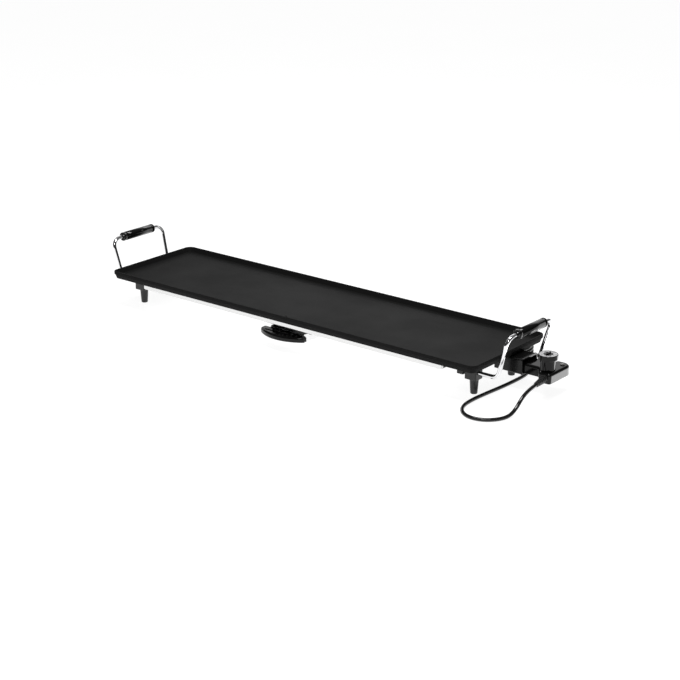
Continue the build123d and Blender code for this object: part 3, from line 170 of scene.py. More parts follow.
class Effects:
    """The surface effects that several finishes share, each built once as a node group.

    Attributes:
        SLOW_SHARE: the slow tone's scale, as a share of the grain's.
        LINE_SQUEEZE: how far the rolled lines are drawn out along X.
        STREAK_SCALE: streaks to a metre across the rolled lines.
        MARK_STOPS: the noise's levels between which a handling mark starts and is full.
    """

    SLOW_SHARE = 0.045
    LINE_SQUEEZE = 0.02
    STREAK_SCALE = 40.0
    MARK_STOPS = (0.42, 0.68)

    def __init__(self) -> None:
        """Builds every group."""
        self.grain = self._grain()
        self.brushed = self._brushed()
        self.handling = self._handling()

    def _grain(self) -> bpy.types.NodeTree:
        """Fine moulded or cast grain: two noises of different scale, added.

        Returns:
            A group that puts out a height and a slow tone.
        """
        graph, start, end = new_group("surface_grain", {"Vector": None, "Scale": 900.0}, ["Height", "Tone"])
        fine = graph.add("TexNoise", Detail=3.0, Roughness=0.6)
        slow = graph.add("TexNoise", Detail=2.0)
        share = graph.add("Math", operation="MULTIPLY")
        share.inputs[1].default_value = self.SLOW_SHARE
        graph.link(start.outputs["Vector"], fine.inputs["Vector"])
        graph.link(start.outputs["Vector"], slow.inputs["Vector"])
        graph.link(start.outputs["Scale"], fine.inputs["Scale"])
        graph.link(start.outputs["Scale"], share.inputs[0])
        graph.link(share.outputs[0], slow.inputs["Scale"])
        graph.link(fine.outputs["Fac"], end.inputs["Height"])
        graph.link(slow.outputs["Fac"], end.inputs["Tone"])
        return graph.tree

    def _brushed(self) -> bpy.types.NodeTree:
        """Long fine lines along X: a noise whose X is squeezed.

        Returns:
            A group that puts out a height and a slow streak.
        """
        graph, start, end = new_group("rolled_lines", {"Vector": None, "Pitch": 1500.0}, ["Height", "Streak"])
        squeeze = graph.add("Mapping", Scale=(self.LINE_SQUEEZE, 1.0, 1.0))
        lines = graph.add("TexNoise", Detail=2.0)
        wide = graph.add("TexNoise", Detail=3.0, Scale=self.STREAK_SCALE)
        graph.link(start.outputs["Vector"], squeeze.inputs["Vector"])
        graph.link(squeeze.outputs[0], lines.inputs["Vector"])
        graph.link(squeeze.outputs[0], wide.inputs["Vector"])
        graph.link(start.outputs["Pitch"], lines.inputs["Scale"])
        graph.link(lines.outputs["Fac"], end.inputs["Height"])
        graph.link(wide.outputs["Fac"], end.inputs["Streak"])
        return graph.tree

    def _handling(self) -> bpy.types.NodeTree:
        """Soft patches where a surface has been wiped and handled: a sharpened slow noise.

        Returns:
            A group that puts out a mask.
        """
        sockets = {"Vector": None, "Scale": 30.0, "Amount": 0.3}
        graph, start, end = new_group("handling_marks", sockets, ["Mask"])
        noise = graph.add("TexNoise", Detail=4.0, Roughness=0.55)
        graph.link(start.outputs["Vector"], noise.inputs["Vector"])
        graph.link(start.outputs["Scale"], noise.inputs["Scale"])
        sharpen = graph.ramp(noise.outputs["Fac"], list(zip(self.MARK_STOPS, (0.0, 1.0))))
        scaled = graph.add("Math", operation="MULTIPLY")
        graph.link(sharpen.outputs["Color"], scaled.inputs[0])
        graph.link(start.outputs["Amount"], scaled.inputs[1])
        graph.link(scaled.outputs[0], end.inputs["Mask"])
        return graph.tree


# ---------------------------------------------------------------- finishes


def shader_for(name: str) -> tuple[bpy.types.Material, Graph, bpy.types.Node]:
    """Starts a material with one Principled shader.

    Args:
        name: the material's name.

    Returns:
        The material, its graph and its shader node.
    """
    material = bpy.data.materials.new(name)
    material.use_nodes = True
    return material, Graph(material.node_tree), material.node_tree.nodes["Principled BSDF"]


def place_group(graph: Graph, tree: bpy.types.NodeTree, **values: float) -> bpy.types.Node:
    """Puts a shared effect in a material, fed with Object coordinates.

    Args:
        graph: the material's graph.
        tree: the effect's node group.
        values: the group's inputs by name.

    Returns:
        The group's node.
    """
    node = graph.add("Group", node_tree=tree)
    where = graph.add("TexCoord")
    graph.link(where.outputs["Object"], node.inputs["Vector"])
    for key, value in values.items():
        node.inputs[key].default_value = value
    return node


def add_bump(graph: Graph, height: bpy.types.NodeSocket, shader: bpy.types.Node, depth: float) -> None:
    """Feeds a height to the shader's normal.

    Args:
        graph: the material's graph.
        height: the height's socket.
        shader: the Principled shader.
        depth: how deep a height of 1 is, in metres.
    """
    bump = graph.add("Bump", Strength=1.0, Distance=depth)
    graph.link(height, bump.inputs["Height"])
    graph.link(bump.outputs["Normal"], shader.inputs["Normal"])


def spread(graph: Graph, source: bpy.types.NodeSocket, low: float, high: float) -> bpy.types.NodeSocket:
    """Maps a value between 0 and 1 onto a range.

    Args:
        graph: the material's graph.
        source: the value.
        low: the result at 0.
        high: the result at 1.

    Returns:
        The result's socket.
    """
    node = graph.add("MapRange")
    node.inputs["To Min"].default_value = low
    node.inputs["To Max"].default_value = high
    graph.link(source, node.inputs["Value"])
    return node.outputs["Result"]


@dataclass(frozen=True)
class Moulding:
    """A moulded plastic, rubber or ceramic: a colour with grain and slight handling marks.

    Attributes:
        name: the material's name.
        colour: the colour of an untouched spot.
        roughness: the roughness of an untouched spot.
        grain: grains to a metre.
        depth: the grain's depth, in metres.
        wear: the strength of the handling marks.
        specular: the specular level.
        marks: handling marks to a metre.
        scuff: how much rougher a mark is.
        fade: what a mark multiplies the colour by, and what it adds to it.
    """

    name: str
    colour: Colour
    roughness: float
    grain: float = 900.0
    depth: float = 2e-6
    wear: float = 0.25
    specular: float = 0.5
    marks: float = 35.0
    scuff: float = 0.25
    fade: tuple[float, float] = (1.5, 0.004)

    def material(self, effects: Effects) -> bpy.types.Material:
        """Builds the material.

        Args:
            effects: the shared node groups.

        Returns:
            The material.
        """
        material, graph, shader = shader_for(self.name)
        grain = place_group(graph, effects.grain, Scale=self.grain)
        marks = place_group(graph, effects.handling, Scale=self.marks, Amount=self.wear)
        gain, lift = self.fade
        lighter = tuple(min(1.0, c * gain + lift) for c in self.colour)
        graph.link(graph.mix(marks.outputs["Mask"], self.colour, lighter), shader.inputs["Base Color"])
        rough = spread(graph, marks.outputs["Mask"], self.roughness, min(1.0, self.roughness + self.scuff))
        graph.link(rough, shader.inputs["Roughness"])
        shader.inputs["Specular IOR Level"].default_value = self.specular
        add_bump(graph, grain.outputs["Height"], shader, self.depth)
        return material


@dataclass(frozen=True)
class Metal:
    """A metal: rolled, plated or drawn, with fine lines and cloudy handling marks.

    Attributes:
        name: the material's name.
        colour: the clean metal's colour.
        roughness: the middle roughness.
        pitch: lines to a metre.
        depth: the lines' depth, in metres.
        wear: the strength of the handling marks.
        stain: a mark's colour.
        marks: handling marks to a metre.
        swing: the share by which the roughness rises and falls.
    """

    name: str
    colour: Colour
    roughness: float
    pitch: float = 1500.0
    depth: float = 1e-6
    wear: float = 0.3
    stain: Colour = (0.3, 0.28, 0.26)
    marks: float = 22.0
    swing: float = 0.3

    def material(self, effects: Effects) -> bpy.types.Material:
        """Builds the material.

        Args:
            effects: the shared node groups.

        Returns:
            The material.
        """
        material, graph, shader = shader_for(self.name)
        lines = place_group(graph, effects.brushed, Pitch=self.pitch)
        marks = place_group(graph, effects.handling, Scale=self.marks, Amount=self.wear)
        graph.link(graph.mix(marks.outputs["Mask"], self.colour, self.stain), shader.inputs["Base Color"])
        smooth, dull = self.roughness * (1 - self.swing), self.roughness * (1 + self.swing)
        graph.link(spread(graph, lines.outputs["Streak"], smooth, dull), shader.inputs["Roughness"])
        shader.inputs["Metallic"].default_value = 1.0
        add_bump(graph, lines.outputs["Height"], shader, self.depth)
        return material


@dataclass(frozen=True)
class Plating:
    """Polished plating: a mirror with the faintest clouding.

    Attributes:
        name: the material's name.
        colour: the clear plating's colour.
        roughness: the middle roughness.
        clouds: clouds to a metre.
        clouding: the share of light that a cloud takes.
        swing: the share by which the roughness rises and falls.
    """

    name: str
    colour: Colour
    roughness: float = 0.05
    clouds: float = 60.0
    clouding: float = 0.07
    swing: float = 0.2

    def material(self, effects: Effects) -> bpy.types.Material:
        """Builds the material.

        Args:
            effects: the shared node groups.

        Returns:
            The material.
        """
        material, graph, shader = shader_for(self.name)
        grain = place_group(graph, effects.grain, Scale=self.clouds)
        clouded = tuple(c * (1 - self.clouding) for c in self.colour)
        graph.link(graph.mix(grain.outputs["Tone"], self.colour, clouded), shader.inputs["Base Color"])
        smooth, dull = self.roughness * (1 - self.swing), self.roughness * (1 + self.swing)
        graph.link(spread(graph, grain.outputs["Tone"], smooth, dull), shader.inputs["Roughness"])
        shader.inputs["Metallic"].default_value = 1.0
        return material


@dataclass(frozen=True)
class TwoFacedSheet:
    """Bright sheet whose upper and inner faces are painted black, as painted shade for the pan's hollow under
    the plate.

    Attributes:
        name: the material's name.
        low: the lower corner in the frame of the region painted black as shade, in metres.
        high: its upper corner.
        sheet: the bare sheet's colour.
        coating: the black painted there as shade.
        roughness: the bare sheet's roughness and that of the region painted black.
        grain: grains to a metre.
        depth: the grain's depth, in metres.
    """

    name: str
    low: Point
    high: Point
    sheet: Colour = (0.9, 0.9, 0.9)
    # painted shade: the black of the pan's hollow, which lies in shade under the plate
    coating: Colour = (0.012, 0.012, 0.012)
    roughness: tuple[float, float] = (0.22, 0.4)
    grain: float = 1100.0
    depth: float = 2e-6

    def material(self, effects: Effects) -> bpy.types.Material:
        """Builds the material.

        Args:
            effects: the shared node groups.

        Returns:
            The material.
        """
        material, graph, shader = shader_for(self.name)
        grain = place_group(graph, effects.grain, Scale=self.grain)
        inside = self._inside(graph)
        # painted shade: black mixed in over the pan's hollow, where the pan lies in shade under the plate
        graph.link(graph.mix(inside, self.sheet, self.coating), shader.inputs["Base Color"])
        graph.link(spread(graph, inside, 1.0, 0.0), shader.inputs["Metallic"])
        graph.link(spread(graph, inside, *self.roughness), shader.inputs["Roughness"])
        add_bump(graph, grain.outputs["Height"], shader, self.depth)
        return material

    def _inside(self, graph: Graph) -> bpy.types.NodeSocket:
        """Masks the region painted black as shade: the product of one test for each axis.

        Args:
            graph: the material's graph.

        Returns:
            A mask that is 1 inside the region and 0 outside it.
        """
        where = graph.add("TexCoord")
        split = graph.add("SeparateXYZ")
        graph.link(where.outputs["Object"], split.inputs[0])
        inside = None
        for axis, low, high in zip("XYZ", self.low, self.high):
            near = graph.add("Math", operation="COMPARE")
            graph.link(split.outputs[axis], near.inputs[0])
            near.inputs[1].default_value = (low + high) / 2
            near.inputs[2].default_value = (high - low) / 2
            if inside is None:
                inside = near.outputs[0]
                continue
            both = graph.add("Math", operation="MULTIPLY")
            graph.link(inside, both.inputs[0])
            graph.link(near.outputs[0], both.inputs[1])
            inside = both.outputs[0]
        return inside


@dataclass(frozen=True)
class Coating:
    """A sprayed non-stick coating: nearly black, pebbled, with a sparse light fleck.

    Attributes:
        name: the material's name.
        colour: the coating's colour.
        fleck: a fleck's colour.
        fleck_ramp: the grain's heights between which a fleck starts and is full.
        roughness: the roughness of a fresh spot and of a wiped one.
        specular: the specular level.
        pebble: pebbles to a metre.
        depth: the pebbles' depth, in metres.
        marks: handling marks to a metre.
        wear: the strength of the handling marks.
    """

    name: str
    colour: Colour = (0.012, 0.012, 0.012)
    fleck: Colour = (0.05, 0.05, 0.048)
    fleck_ramp: tuple[float, float] = (0.62, 0.75)
    roughness: tuple[float, float] = (0.51, 0.63)
    specular: float = 0.035
    pebble: float = 1400.0
    depth: float = 1.2e-5
    marks: float = 9.0
    wear: float = 0.5

    def material(self, effects: Effects) -> bpy.types.Material:
        """Builds the material.

        Args:
            effects: the shared node groups.

        Returns:
            The material.
        """
        material, graph, shader = shader_for(self.name)
        grain = place_group(graph, effects.grain, Scale=self.pebble)
        marks = place_group(graph, effects.handling, Scale=self.marks, Amount=self.wear)
        flecks = graph.ramp(grain.outputs["Height"], list(zip(self.fleck_ramp, (0.0, 1.0))))
        graph.link(graph.mix(flecks.outputs["Color"], self.colour, self.fleck), shader.inputs["Base Color"])
        graph.link(spread(graph, marks.outputs["Mask"], *self.roughness), shader.inputs["Roughness"])
        shader.inputs["Specular IOR Level"].default_value = self.specular
        add_bump(graph, grain.outputs["Height"], shader, self.depth)
        return material


@dataclass(frozen=True)
class ClearMoulding:
    """A clear moulding or glass: tinted, smooth, slightly rippled.

    Attributes:
        name: the material's name.
        colour: the lighter tint.
        roughness: the roughness.
        transmission: the share of light that goes through.
        shade: the darker tint, as a share of the lighter one.
        ripple: ripples to a metre.
        depth: the ripples' depth, in metres.
    """

    name: str
    colour: Colour
    roughness: float = 0.08
    transmission: float = 0.6
    shade: float = 0.7
    ripple: float = 260.0
    depth: float = 4e-6

    def material(self, effects: Effects) -> bpy.types.Material:
        """Builds the material.

        Args:
            effects: the shared node groups.

        Returns:
            The material.
        """
        material, graph, shader = shader_for(self.name)
        ripple = place_group(graph, effects.grain, Scale=self.ripple)
        deeper = tuple(c * self.shade for c in self.colour)
        graph.link(graph.mix(ripple.outputs["Tone"], self.colour, deeper), shader.inputs["Base Color"])
        shader.inputs["Roughness"].default_value = self.roughness
        shader.inputs["Transmission Weight"].default_value = self.transmission
        add_bump(graph, ripple.outputs["Height"], shader, self.depth)
        return material


Finish = Moulding | Metal | Plating | TwoFacedSheet | Coating | ClearMoulding


class Finishes:
    """Every finish of the griddle, built once and handed out by name."""

    COATING = Coating("nonstick_coating")
    PHENOLIC = Moulding("gloss_black_phenolic", (0.003, 0.003, 0.003), 0.07, 300.0, 3e-7, 0.06, 0.25)
    INLET = Moulding("satin_inlet", (0.005, 0.005, 0.005), 0.16, 900.0, 1e-6, 0.15, 0.3)
    # the tray's sheet carries painted shade: black over the pan's hollow inside this box
    TRAY = TwoFacedSheet("tray_sheet", (-0.0702, -0.083, 0.0159), (0.0142, 0.1, 0.034))
    FOOT = Moulding("satin_black_foot", (0.005, 0.005, 0.005), 0.3, 900.0, 2e-6, 0.25)
    DARK = Moulding("matt_black_moulding", (0.012, 0.012, 0.012), 0.5, 1100.0, 6e-6, 0.3)
    RUBBER = Moulding("soft_rubber", (0.011, 0.011, 0.011), 0.55, 1400.0, 8e-6, 0.4)
    JACKET = Moulding("cord_jacket", (0.004, 0.004, 0.004), 0.15, 500.0, 1e-6, 0.1)
    CERAMIC = Moulding("glazed_insulator", (0.62, 0.59, 0.52), 0.45, 800.0, 5e-6, 0.3)
    CHROME = Plating("chrome_wire", (0.86, 0.86, 0.87))
    SHEET = Metal("bright_sheet", (0.74, 0.74, 0.74), 0.25, 1500.0, 1e-6, 0.2, (0.75, 0.74, 0.72))
    PLATED = Metal("plated_steel", (0.62, 0.62, 0.63), 0.3, 1200.0, 1e-6, 0.35)
    SHEATH = Metal("heat_stained_sheath", (0.3, 0.28, 0.26), 0.45, 900.0, 3e-6, 0.6, (0.2, 0.13, 0.09))
    BRASS = Metal("contact_brass", (0.72, 0.53, 0.24), 0.28, 1200.0, 1e-6, 0.3, (0.4, 0.27, 0.13))
    SCALE = Metal("silver_scale", (0.78, 0.78, 0.79), 0.35, 2500.0, 1e-6, 0.1, (0.6, 0.6, 0.6))
    LENS = ClearMoulding("pilot_lens", (0.5, 0.49, 0.47))
    BULB = ClearMoulding("neon_bulb", (0.95, 0.8, 0.7), 0.05, 0.9)
    MARKS = Moulding("printed_marks", (0.02, 0.02, 0.02), 0.5, 900.0, 1e-6, 0.1)

    def __init__(self, effects: Effects) -> None:
        """Keeps the shared effects.

        Args:
            effects: the shared node groups.
        """
        self.effects = effects
        self.made: dict[str, bpy.types.Material] = {}

    def get(self, finish: Finish) -> bpy.types.Material:
        """Builds a finish the first time it is asked for.

        Args:
            finish: one of the finishes above.

        Returns:
            Its material.
        """
        if finish.name not in self.made:
            self.made[finish.name] = finish.material(self.effects)
        return self.made[finish.name]

    def dress(self, finish: Finish, *nodes: str) -> None:
        """Gives CAD nodes a finish.

        Args:
            finish: one of the finishes above.
            nodes: names of CAD nodes.
        """
        for name in nodes:
            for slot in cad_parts[name].material_slots:
                slot.material = self.get(finish)
            LOG.info("%s wears %s", name, finish.name)


# ---------------------------------------------------------------- surfaces


def grid_mesh(
    name: str, rows: np.ndarray, closed_u: bool = False, closed_v: bool = False, caps: bool = False
) -> bpy.types.Object:
    """Turns a grid of points into a smooth mesh object.

    Args:
        name: the object's name.
        rows: an array of shape (m, n, 3): m stations along, n points round.
        closed_u: joins the last station to the first.
        closed_v: joins the last point of each station to its first.
        caps: closes both ends with a fan round each end's centre.

    Returns:
        The new object, linked to the scene.
    """
    m, n = rows.shape[:2]
    index = np.arange(m * n).reshape(m, n)
    along = np.vstack([index, index[:1]]) if closed_u else index
    around = np.hstack([along, along[:, :1]]) if closed_v else along
    quads = np.stack([around[:-1, :-1], around[:-1, 1:], around[1:, 1:], around[1:, :-1]], -1).reshape(-1, 4)
    points = rows.reshape(-1, 3)
    faces = quads.tolist()
    if caps:
        centres = np.array([rows[0].mean(0), rows[-1].mean(0)])
        points = np.vstack([points, centres])
        first, last = index[0], index[-1]
        faces += np.stack([np.roll(first, -1), first, np.full(n, m * n)], 1).tolist()
        faces += np.stack([last, np.roll(last, -1), np.full(n, m * n + 1)], 1).tolist()
    mesh = bpy.data.meshes.new(name)
    mesh.from_pydata(points.tolist(), [], faces)
    mesh.polygons.foreach_set("use_smooth", np.ones(len(mesh.polygons), dtype=bool))
    mesh.update()
    piece = bpy.data.objects.new(name, mesh)
    bpy.context.scene.collection.objects.link(piece)
    return piece


def tube_along(path: np.ndarray, radius: float, sides: int) -> np.ndarray:
    """Rings round a path.

    Each station's ring is the circle of the given radius in the plane across the path's direction.
    The frame is carried from station to station by taking out the part along the new direction.

    Args:
        path: points of shape (m, 3).
        radius: the ring's radius.
        sides: points on each ring.

    Returns:
        An array of shape (m, sides, 3).
    """
    tangent = np.gradient(path, axis=0)
    tangent /= np.linalg.norm(tangent, axis=1, keepdims=True)
    side = np.zeros_like(path)
    start = np.cross(tangent[0], (0.0, 0.0, 1.0))
    if np.linalg.norm(start) < 0.1:
        start = np.cross(tangent[0], (0.0, 1.0, 0.0))
    side[0] = start / np.linalg.norm(start)
    for i in range(1, len(path)):
        flat = side[i - 1] - tangent[i] * (side[i - 1] @ tangent[i])
        side[i] = flat / np.linalg.norm(flat)
    up = np.cross(tangent, side)
    angle = np.linspace(0, 2 * math.pi, sides, endpoint=False)
    ring = side[:, None] * np.cos(angle)[None, :, None] + up[:, None] * np.sin(angle)[None, :, None]
    return path[:, None] + radius * ring


def rounded_path(points: list[Point], radii: list[float], step: float) -> np.ndarray:
    """A path of straight runs joined by arcs that touch both runs.

    At a corner that turns by an angle t, the arc starts r * tan(t / 2) before it, and its centre lies
    on the corner's bisector.

    Args:
        points: the corners, with both ends.
        radii: the arc's radius at each inner corner.
        step: the largest angle between two points of an arc, in radians.

    Returns:
        Points of shape (m, 3).
    """
    corners = np.array(points, float)
    path = [corners[0]]
    for i, radius in enumerate(radii, start=1):
        before = corners[i] - corners[i - 1]
        after = corners[i + 1] - corners[i]
        before /= np.linalg.norm(before)
        after /= np.linalg.norm(after)
        turn = math.acos(float(np.clip(before @ after, -1, 1)))
        reach = radius * math.tan(turn / 2)
        inward = after - before
        inward /= np.linalg.norm(inward)
        centre = corners[i] + inward * math.hypot(radius, reach)
        count = max(2, math.ceil(turn / step))
        share = np.linspace(0, 1, count + 1)[:, None] * turn
        start = corners[i] - before * reach - centre
        path += list(centre + start * np.cos(share) + before * radius * np.sin(share))
    path.append(corners[-1])
    return np.array(path)


def turned(profile: np.ndarray, centre: Point, axis: Vector, sides: int) -> np.ndarray:
    """Turns a closed profile round an axis.

    A point at place p and radius r goes to centre + p * axis + r * (cos a, sin a) across the axis.

    Args:
        profile: pairs of place along the axis and radius, in order round the section.
        centre: the point on the axis where the place is 0.
        axis: the axis's direction.
        sides: points on each ring.

    Returns:
        An array of shape (len(profile), sides, 3).
    """
    along = axis.normalized()
    first = along.orthogonal().normalized()
    second = along.cross(first)
    angle = np.linspace(0, 2 * math.pi, sides, endpoint=False)
    ring = np.array(first) * np.cos(angle)[:, None] + np.array(second) * np.sin(angle)[:, None]
    middle = np.array(centre) + np.array(along) * profile[:, :1]
    return middle[:, None] + profile[:, 1][:, None, None] * ring[None]


def keep(piece: bpy.types.Object, material: bpy.types.Material, body: Body) -> bpy.types.Object:
    """Dresses a finished piece and ties it to its body.

    Args:
        piece: the piece.
        material: its material.
        body: the body that it rides on.

    Returns:
        The same piece.
    """
    piece.data.materials.append(material)
    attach(piece, body.value)
    LOG.info("%s rides on %s", piece.name, body.value)
    return piece


# ---------------------------------------------------------------- studio


@dataclass(frozen=True)
class SoftBox:
    """One rectangular soft light.

    Attributes:
        name: its name.
        place: where it stands, in metres.
        aim: the point that it faces.
        size: its width and height.
        power: its power in watts.
    """

    name: str
    place: Point
    aim: Point
    size: tuple[float, float]
    power: float


@dataclass
class Studio:
    """The pale floor, the soft lights and the camera.

    Attributes:
        walls: the room's greys, from the horizon at one half to straight up at 1.
        backdrop_way: the direction of the pale backdrop's middle.
        backdrop: its greys by the cosine of the angle from that direction.
        floor_glow: the light that the floor gives off.
        floor_half: half the floor's side, in metres.
        floor_drop: how far the floor lies below the feet, in metres.
        floor_tones: the floor's darkest and lightest grey.
        floor_cloud: tone clouds to a metre.
        boxes: the soft lights.
        azimuth: the camera's turn from straight in front.
        elevation: its height as an angle.
        distance: its distance from the plate's middle, in metres.
        aside: how far it stands to the right of the line to the plate's middle, in metres.
        above: how far it stands above that line, in metres.
        aim_shift: a last shift of the point that it looks at, in metres.
        lens: its focal length, in millimetres.
        sensor: the width of its image area, in millimetres.
        far_limit: the distance past which it sees nothing, in metres.
    """

    walls: tuple[tuple[float, float], ...] = ((0.0, 0.9), (0.49, 0.03), (0.62, 0.03), (0.8, 0.12), (1.0, 0.3))
    backdrop_way: Point = (-0.593, 0.733, 0.334)
    backdrop: tuple[tuple[float, float], ...] = ((0.78, 0.0), (0.93, 0.85))
    floor_glow: float = 0.9
    floor_half: float = 6.0
    floor_drop: float = 0.0002
    floor_tones: tuple[float, float] = (0.3, 0.33)
    floor_cloud: float = 3.0
    boxes: tuple[SoftBox, ...] = (
        SoftBox("top_strip", (0.2, -0.3, 2.1), (0.2, -0.1, 0.0), (1.6, 0.35), 30.0),
        SoftBox("front_box", (0.9, -1.7, 1.9), (0.0, 0.0, 0.0), (0.5, 0.4), 9.0),
        SoftBox("near_corner_box", (-0.19, 0.63, 0.40), (0.4, -0.1, 0.07), (0.25, 0.12), 0.25),
        SoftBox("far_rim_box", (-0.86, 0.97, 0.45), (-0.2, 0.1, 0.07), (0.3, 0.15), 0.25),
        SoftBox("side_card", (0.56, 0.1, 0.004), (0.56, 0.1, 1.0), (0.06, 0.24), 0.22),
    )
    azimuth: float = math.radians(38.99)
    elevation: float = math.radians(19.52)
    distance: float = 3.342
    aside: float = 0.04665
    above: float = -0.00765
    aim_shift: Point = (-0.0005, -0.0015, 0.0)
    lens: float = 90.1
    sensor: float = 36.0
    far_limit: float = 50.0

    def build(self) -> None:
        """Builds floor, lights, world and camera."""
        self._world()
        self._floor()
        self._lights()
        self._camera()

    def _world(self) -> None:
        """A white room for the eye; for the surfaces, dark walls with one pale backdrop behind."""
        world = bpy.data.worlds.new("white_room")
        bpy.context.scene.world = world
        world.use_nodes = True
        graph = Graph(world.node_tree)
        back = world.node_tree.nodes["Background"]
        where = graph.add("TexCoord")
        split = graph.add("SeparateXYZ")
        graph.link(where.outputs["Generated"], split.inputs[0])
        height = spread(graph, split.outputs["Z"], 0.5, 1.0)
        walls = graph.ramp(height, list(self.walls))
        toward = graph.add("VectorMath", operation="DOT_PRODUCT")
        toward.inputs[1].default_value = self.backdrop_way
        graph.link(where.outputs["Generated"], toward.inputs[0])
        backdrop = graph.ramp(toward.outputs["Value"], list(self.backdrop))
        room = graph.add("Mix", data_type="RGBA", blend_type="LIGHTEN")
        room.inputs[0].default_value = 1.0
        graph.link(walls.outputs["Color"], room.inputs[MIX_FIRST])
        graph.link(backdrop.outputs["Color"], room.inputs[MIX_SECOND])
        eye = graph.add("LightPath")
        tone = graph.add("Mix", data_type="RGBA")
        tone.inputs[MIX_SECOND].default_value = (1, 1, 1, 1)
        graph.link(eye.outputs["Is Camera Ray"], tone.inputs[0])
        graph.link(room.outputs[MIX_RESULT], tone.inputs[MIX_FIRST])
        graph.link(tone.outputs[MIX_RESULT], back.inputs["Color"])
        back.inputs["Strength"].default_value = 1.0
        bpy.context.scene.view_settings.view_transform = "Standard"

    def _floor(self) -> None:
        """A wide white sheet just below the feet, lit from within so that shadows stay faint."""
        u = np.linspace(-self.floor_half, self.floor_half, 3)
        x, y = np.meshgrid(u, u, indexing="ij")
        floor = grid_mesh("floor", np.stack([x, y, np.full_like(x, -self.floor_drop)], -1))
        material, graph, shader = shader_for("paper_floor")
        cloud = graph.add("TexNoise", Scale=self.floor_cloud)
        where = graph.add("TexCoord")
        graph.link(where.outputs["Object"], cloud.inputs["Vector"])
        dark, light = self.floor_tones
        graph.link(graph.mix(cloud.outputs["Fac"], (dark,) * 3, (light,) * 3), shader.inputs["Base Color"])
        shader.inputs["Roughness"].default_value = 0.9
        shader.inputs["Specular IOR Level"].default_value = 0.0
        shader.inputs["Emission Color"].default_value = (1, 1, 1, 1)
        shader.inputs["Emission Strength"].default_value = self.floor_glow
        floor.data.materials.append(material)

    def _lights(self) -> None:
        """Every soft box of the studio; none is seen directly."""
        for box in self.boxes:
            light = bpy.data.lights.new(box.name, "AREA")
            light.shape = "RECTANGLE"
            light.size, light.size_y = box.size
            light.energy = box.power
            lamp = bpy.data.objects.new(box.name, light)
            bpy.context.scene.collection.objects.link(lamp)
            lamp.location = box.place
            lamp.rotation_euler = (Vector(box.aim) - Vector(box.place)).to_track_quat("-Z", "Y").to_euler()
            lamp.visible_camera = False

    def _camera(self) -> None:
        """The camera stands off along the line of sight, aimed past the plate's middle."""
        sa, ca = math.sin(self.azimuth), math.cos(self.azimuth)
        se, ce = math.sin(self.elevation), math.cos(self.elevation)
        back = Vector((sa * ce, -ca * ce, se))
        right = Vector((ca, sa, 0))
        up = back.cross(right)
        low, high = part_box("cooking_plate")
        middle = Vector(((low[0] + high[0]) / 2, (low[1] + high[1]) / 2, 0)) + Vector(self.aim_shift)
        camera = bpy.data.cameras.new("camera")
        camera.lens = self.lens
        camera.sensor_width = self.sensor
        camera.clip_end = self.far_limit
        stand = bpy.data.objects.new("camera", camera)
        bpy.context.scene.collection.objects.link(stand)
        turn = Matrix((right, up, back)).transposed().to_4x4()
        place = middle + right * self.aside + up * self.above + back * self.distance
        stand.matrix_world = Matrix.Translation(place) @ turn
        bpy.context.scene.camera = stand


# ---------------------------------------------------------------- cord


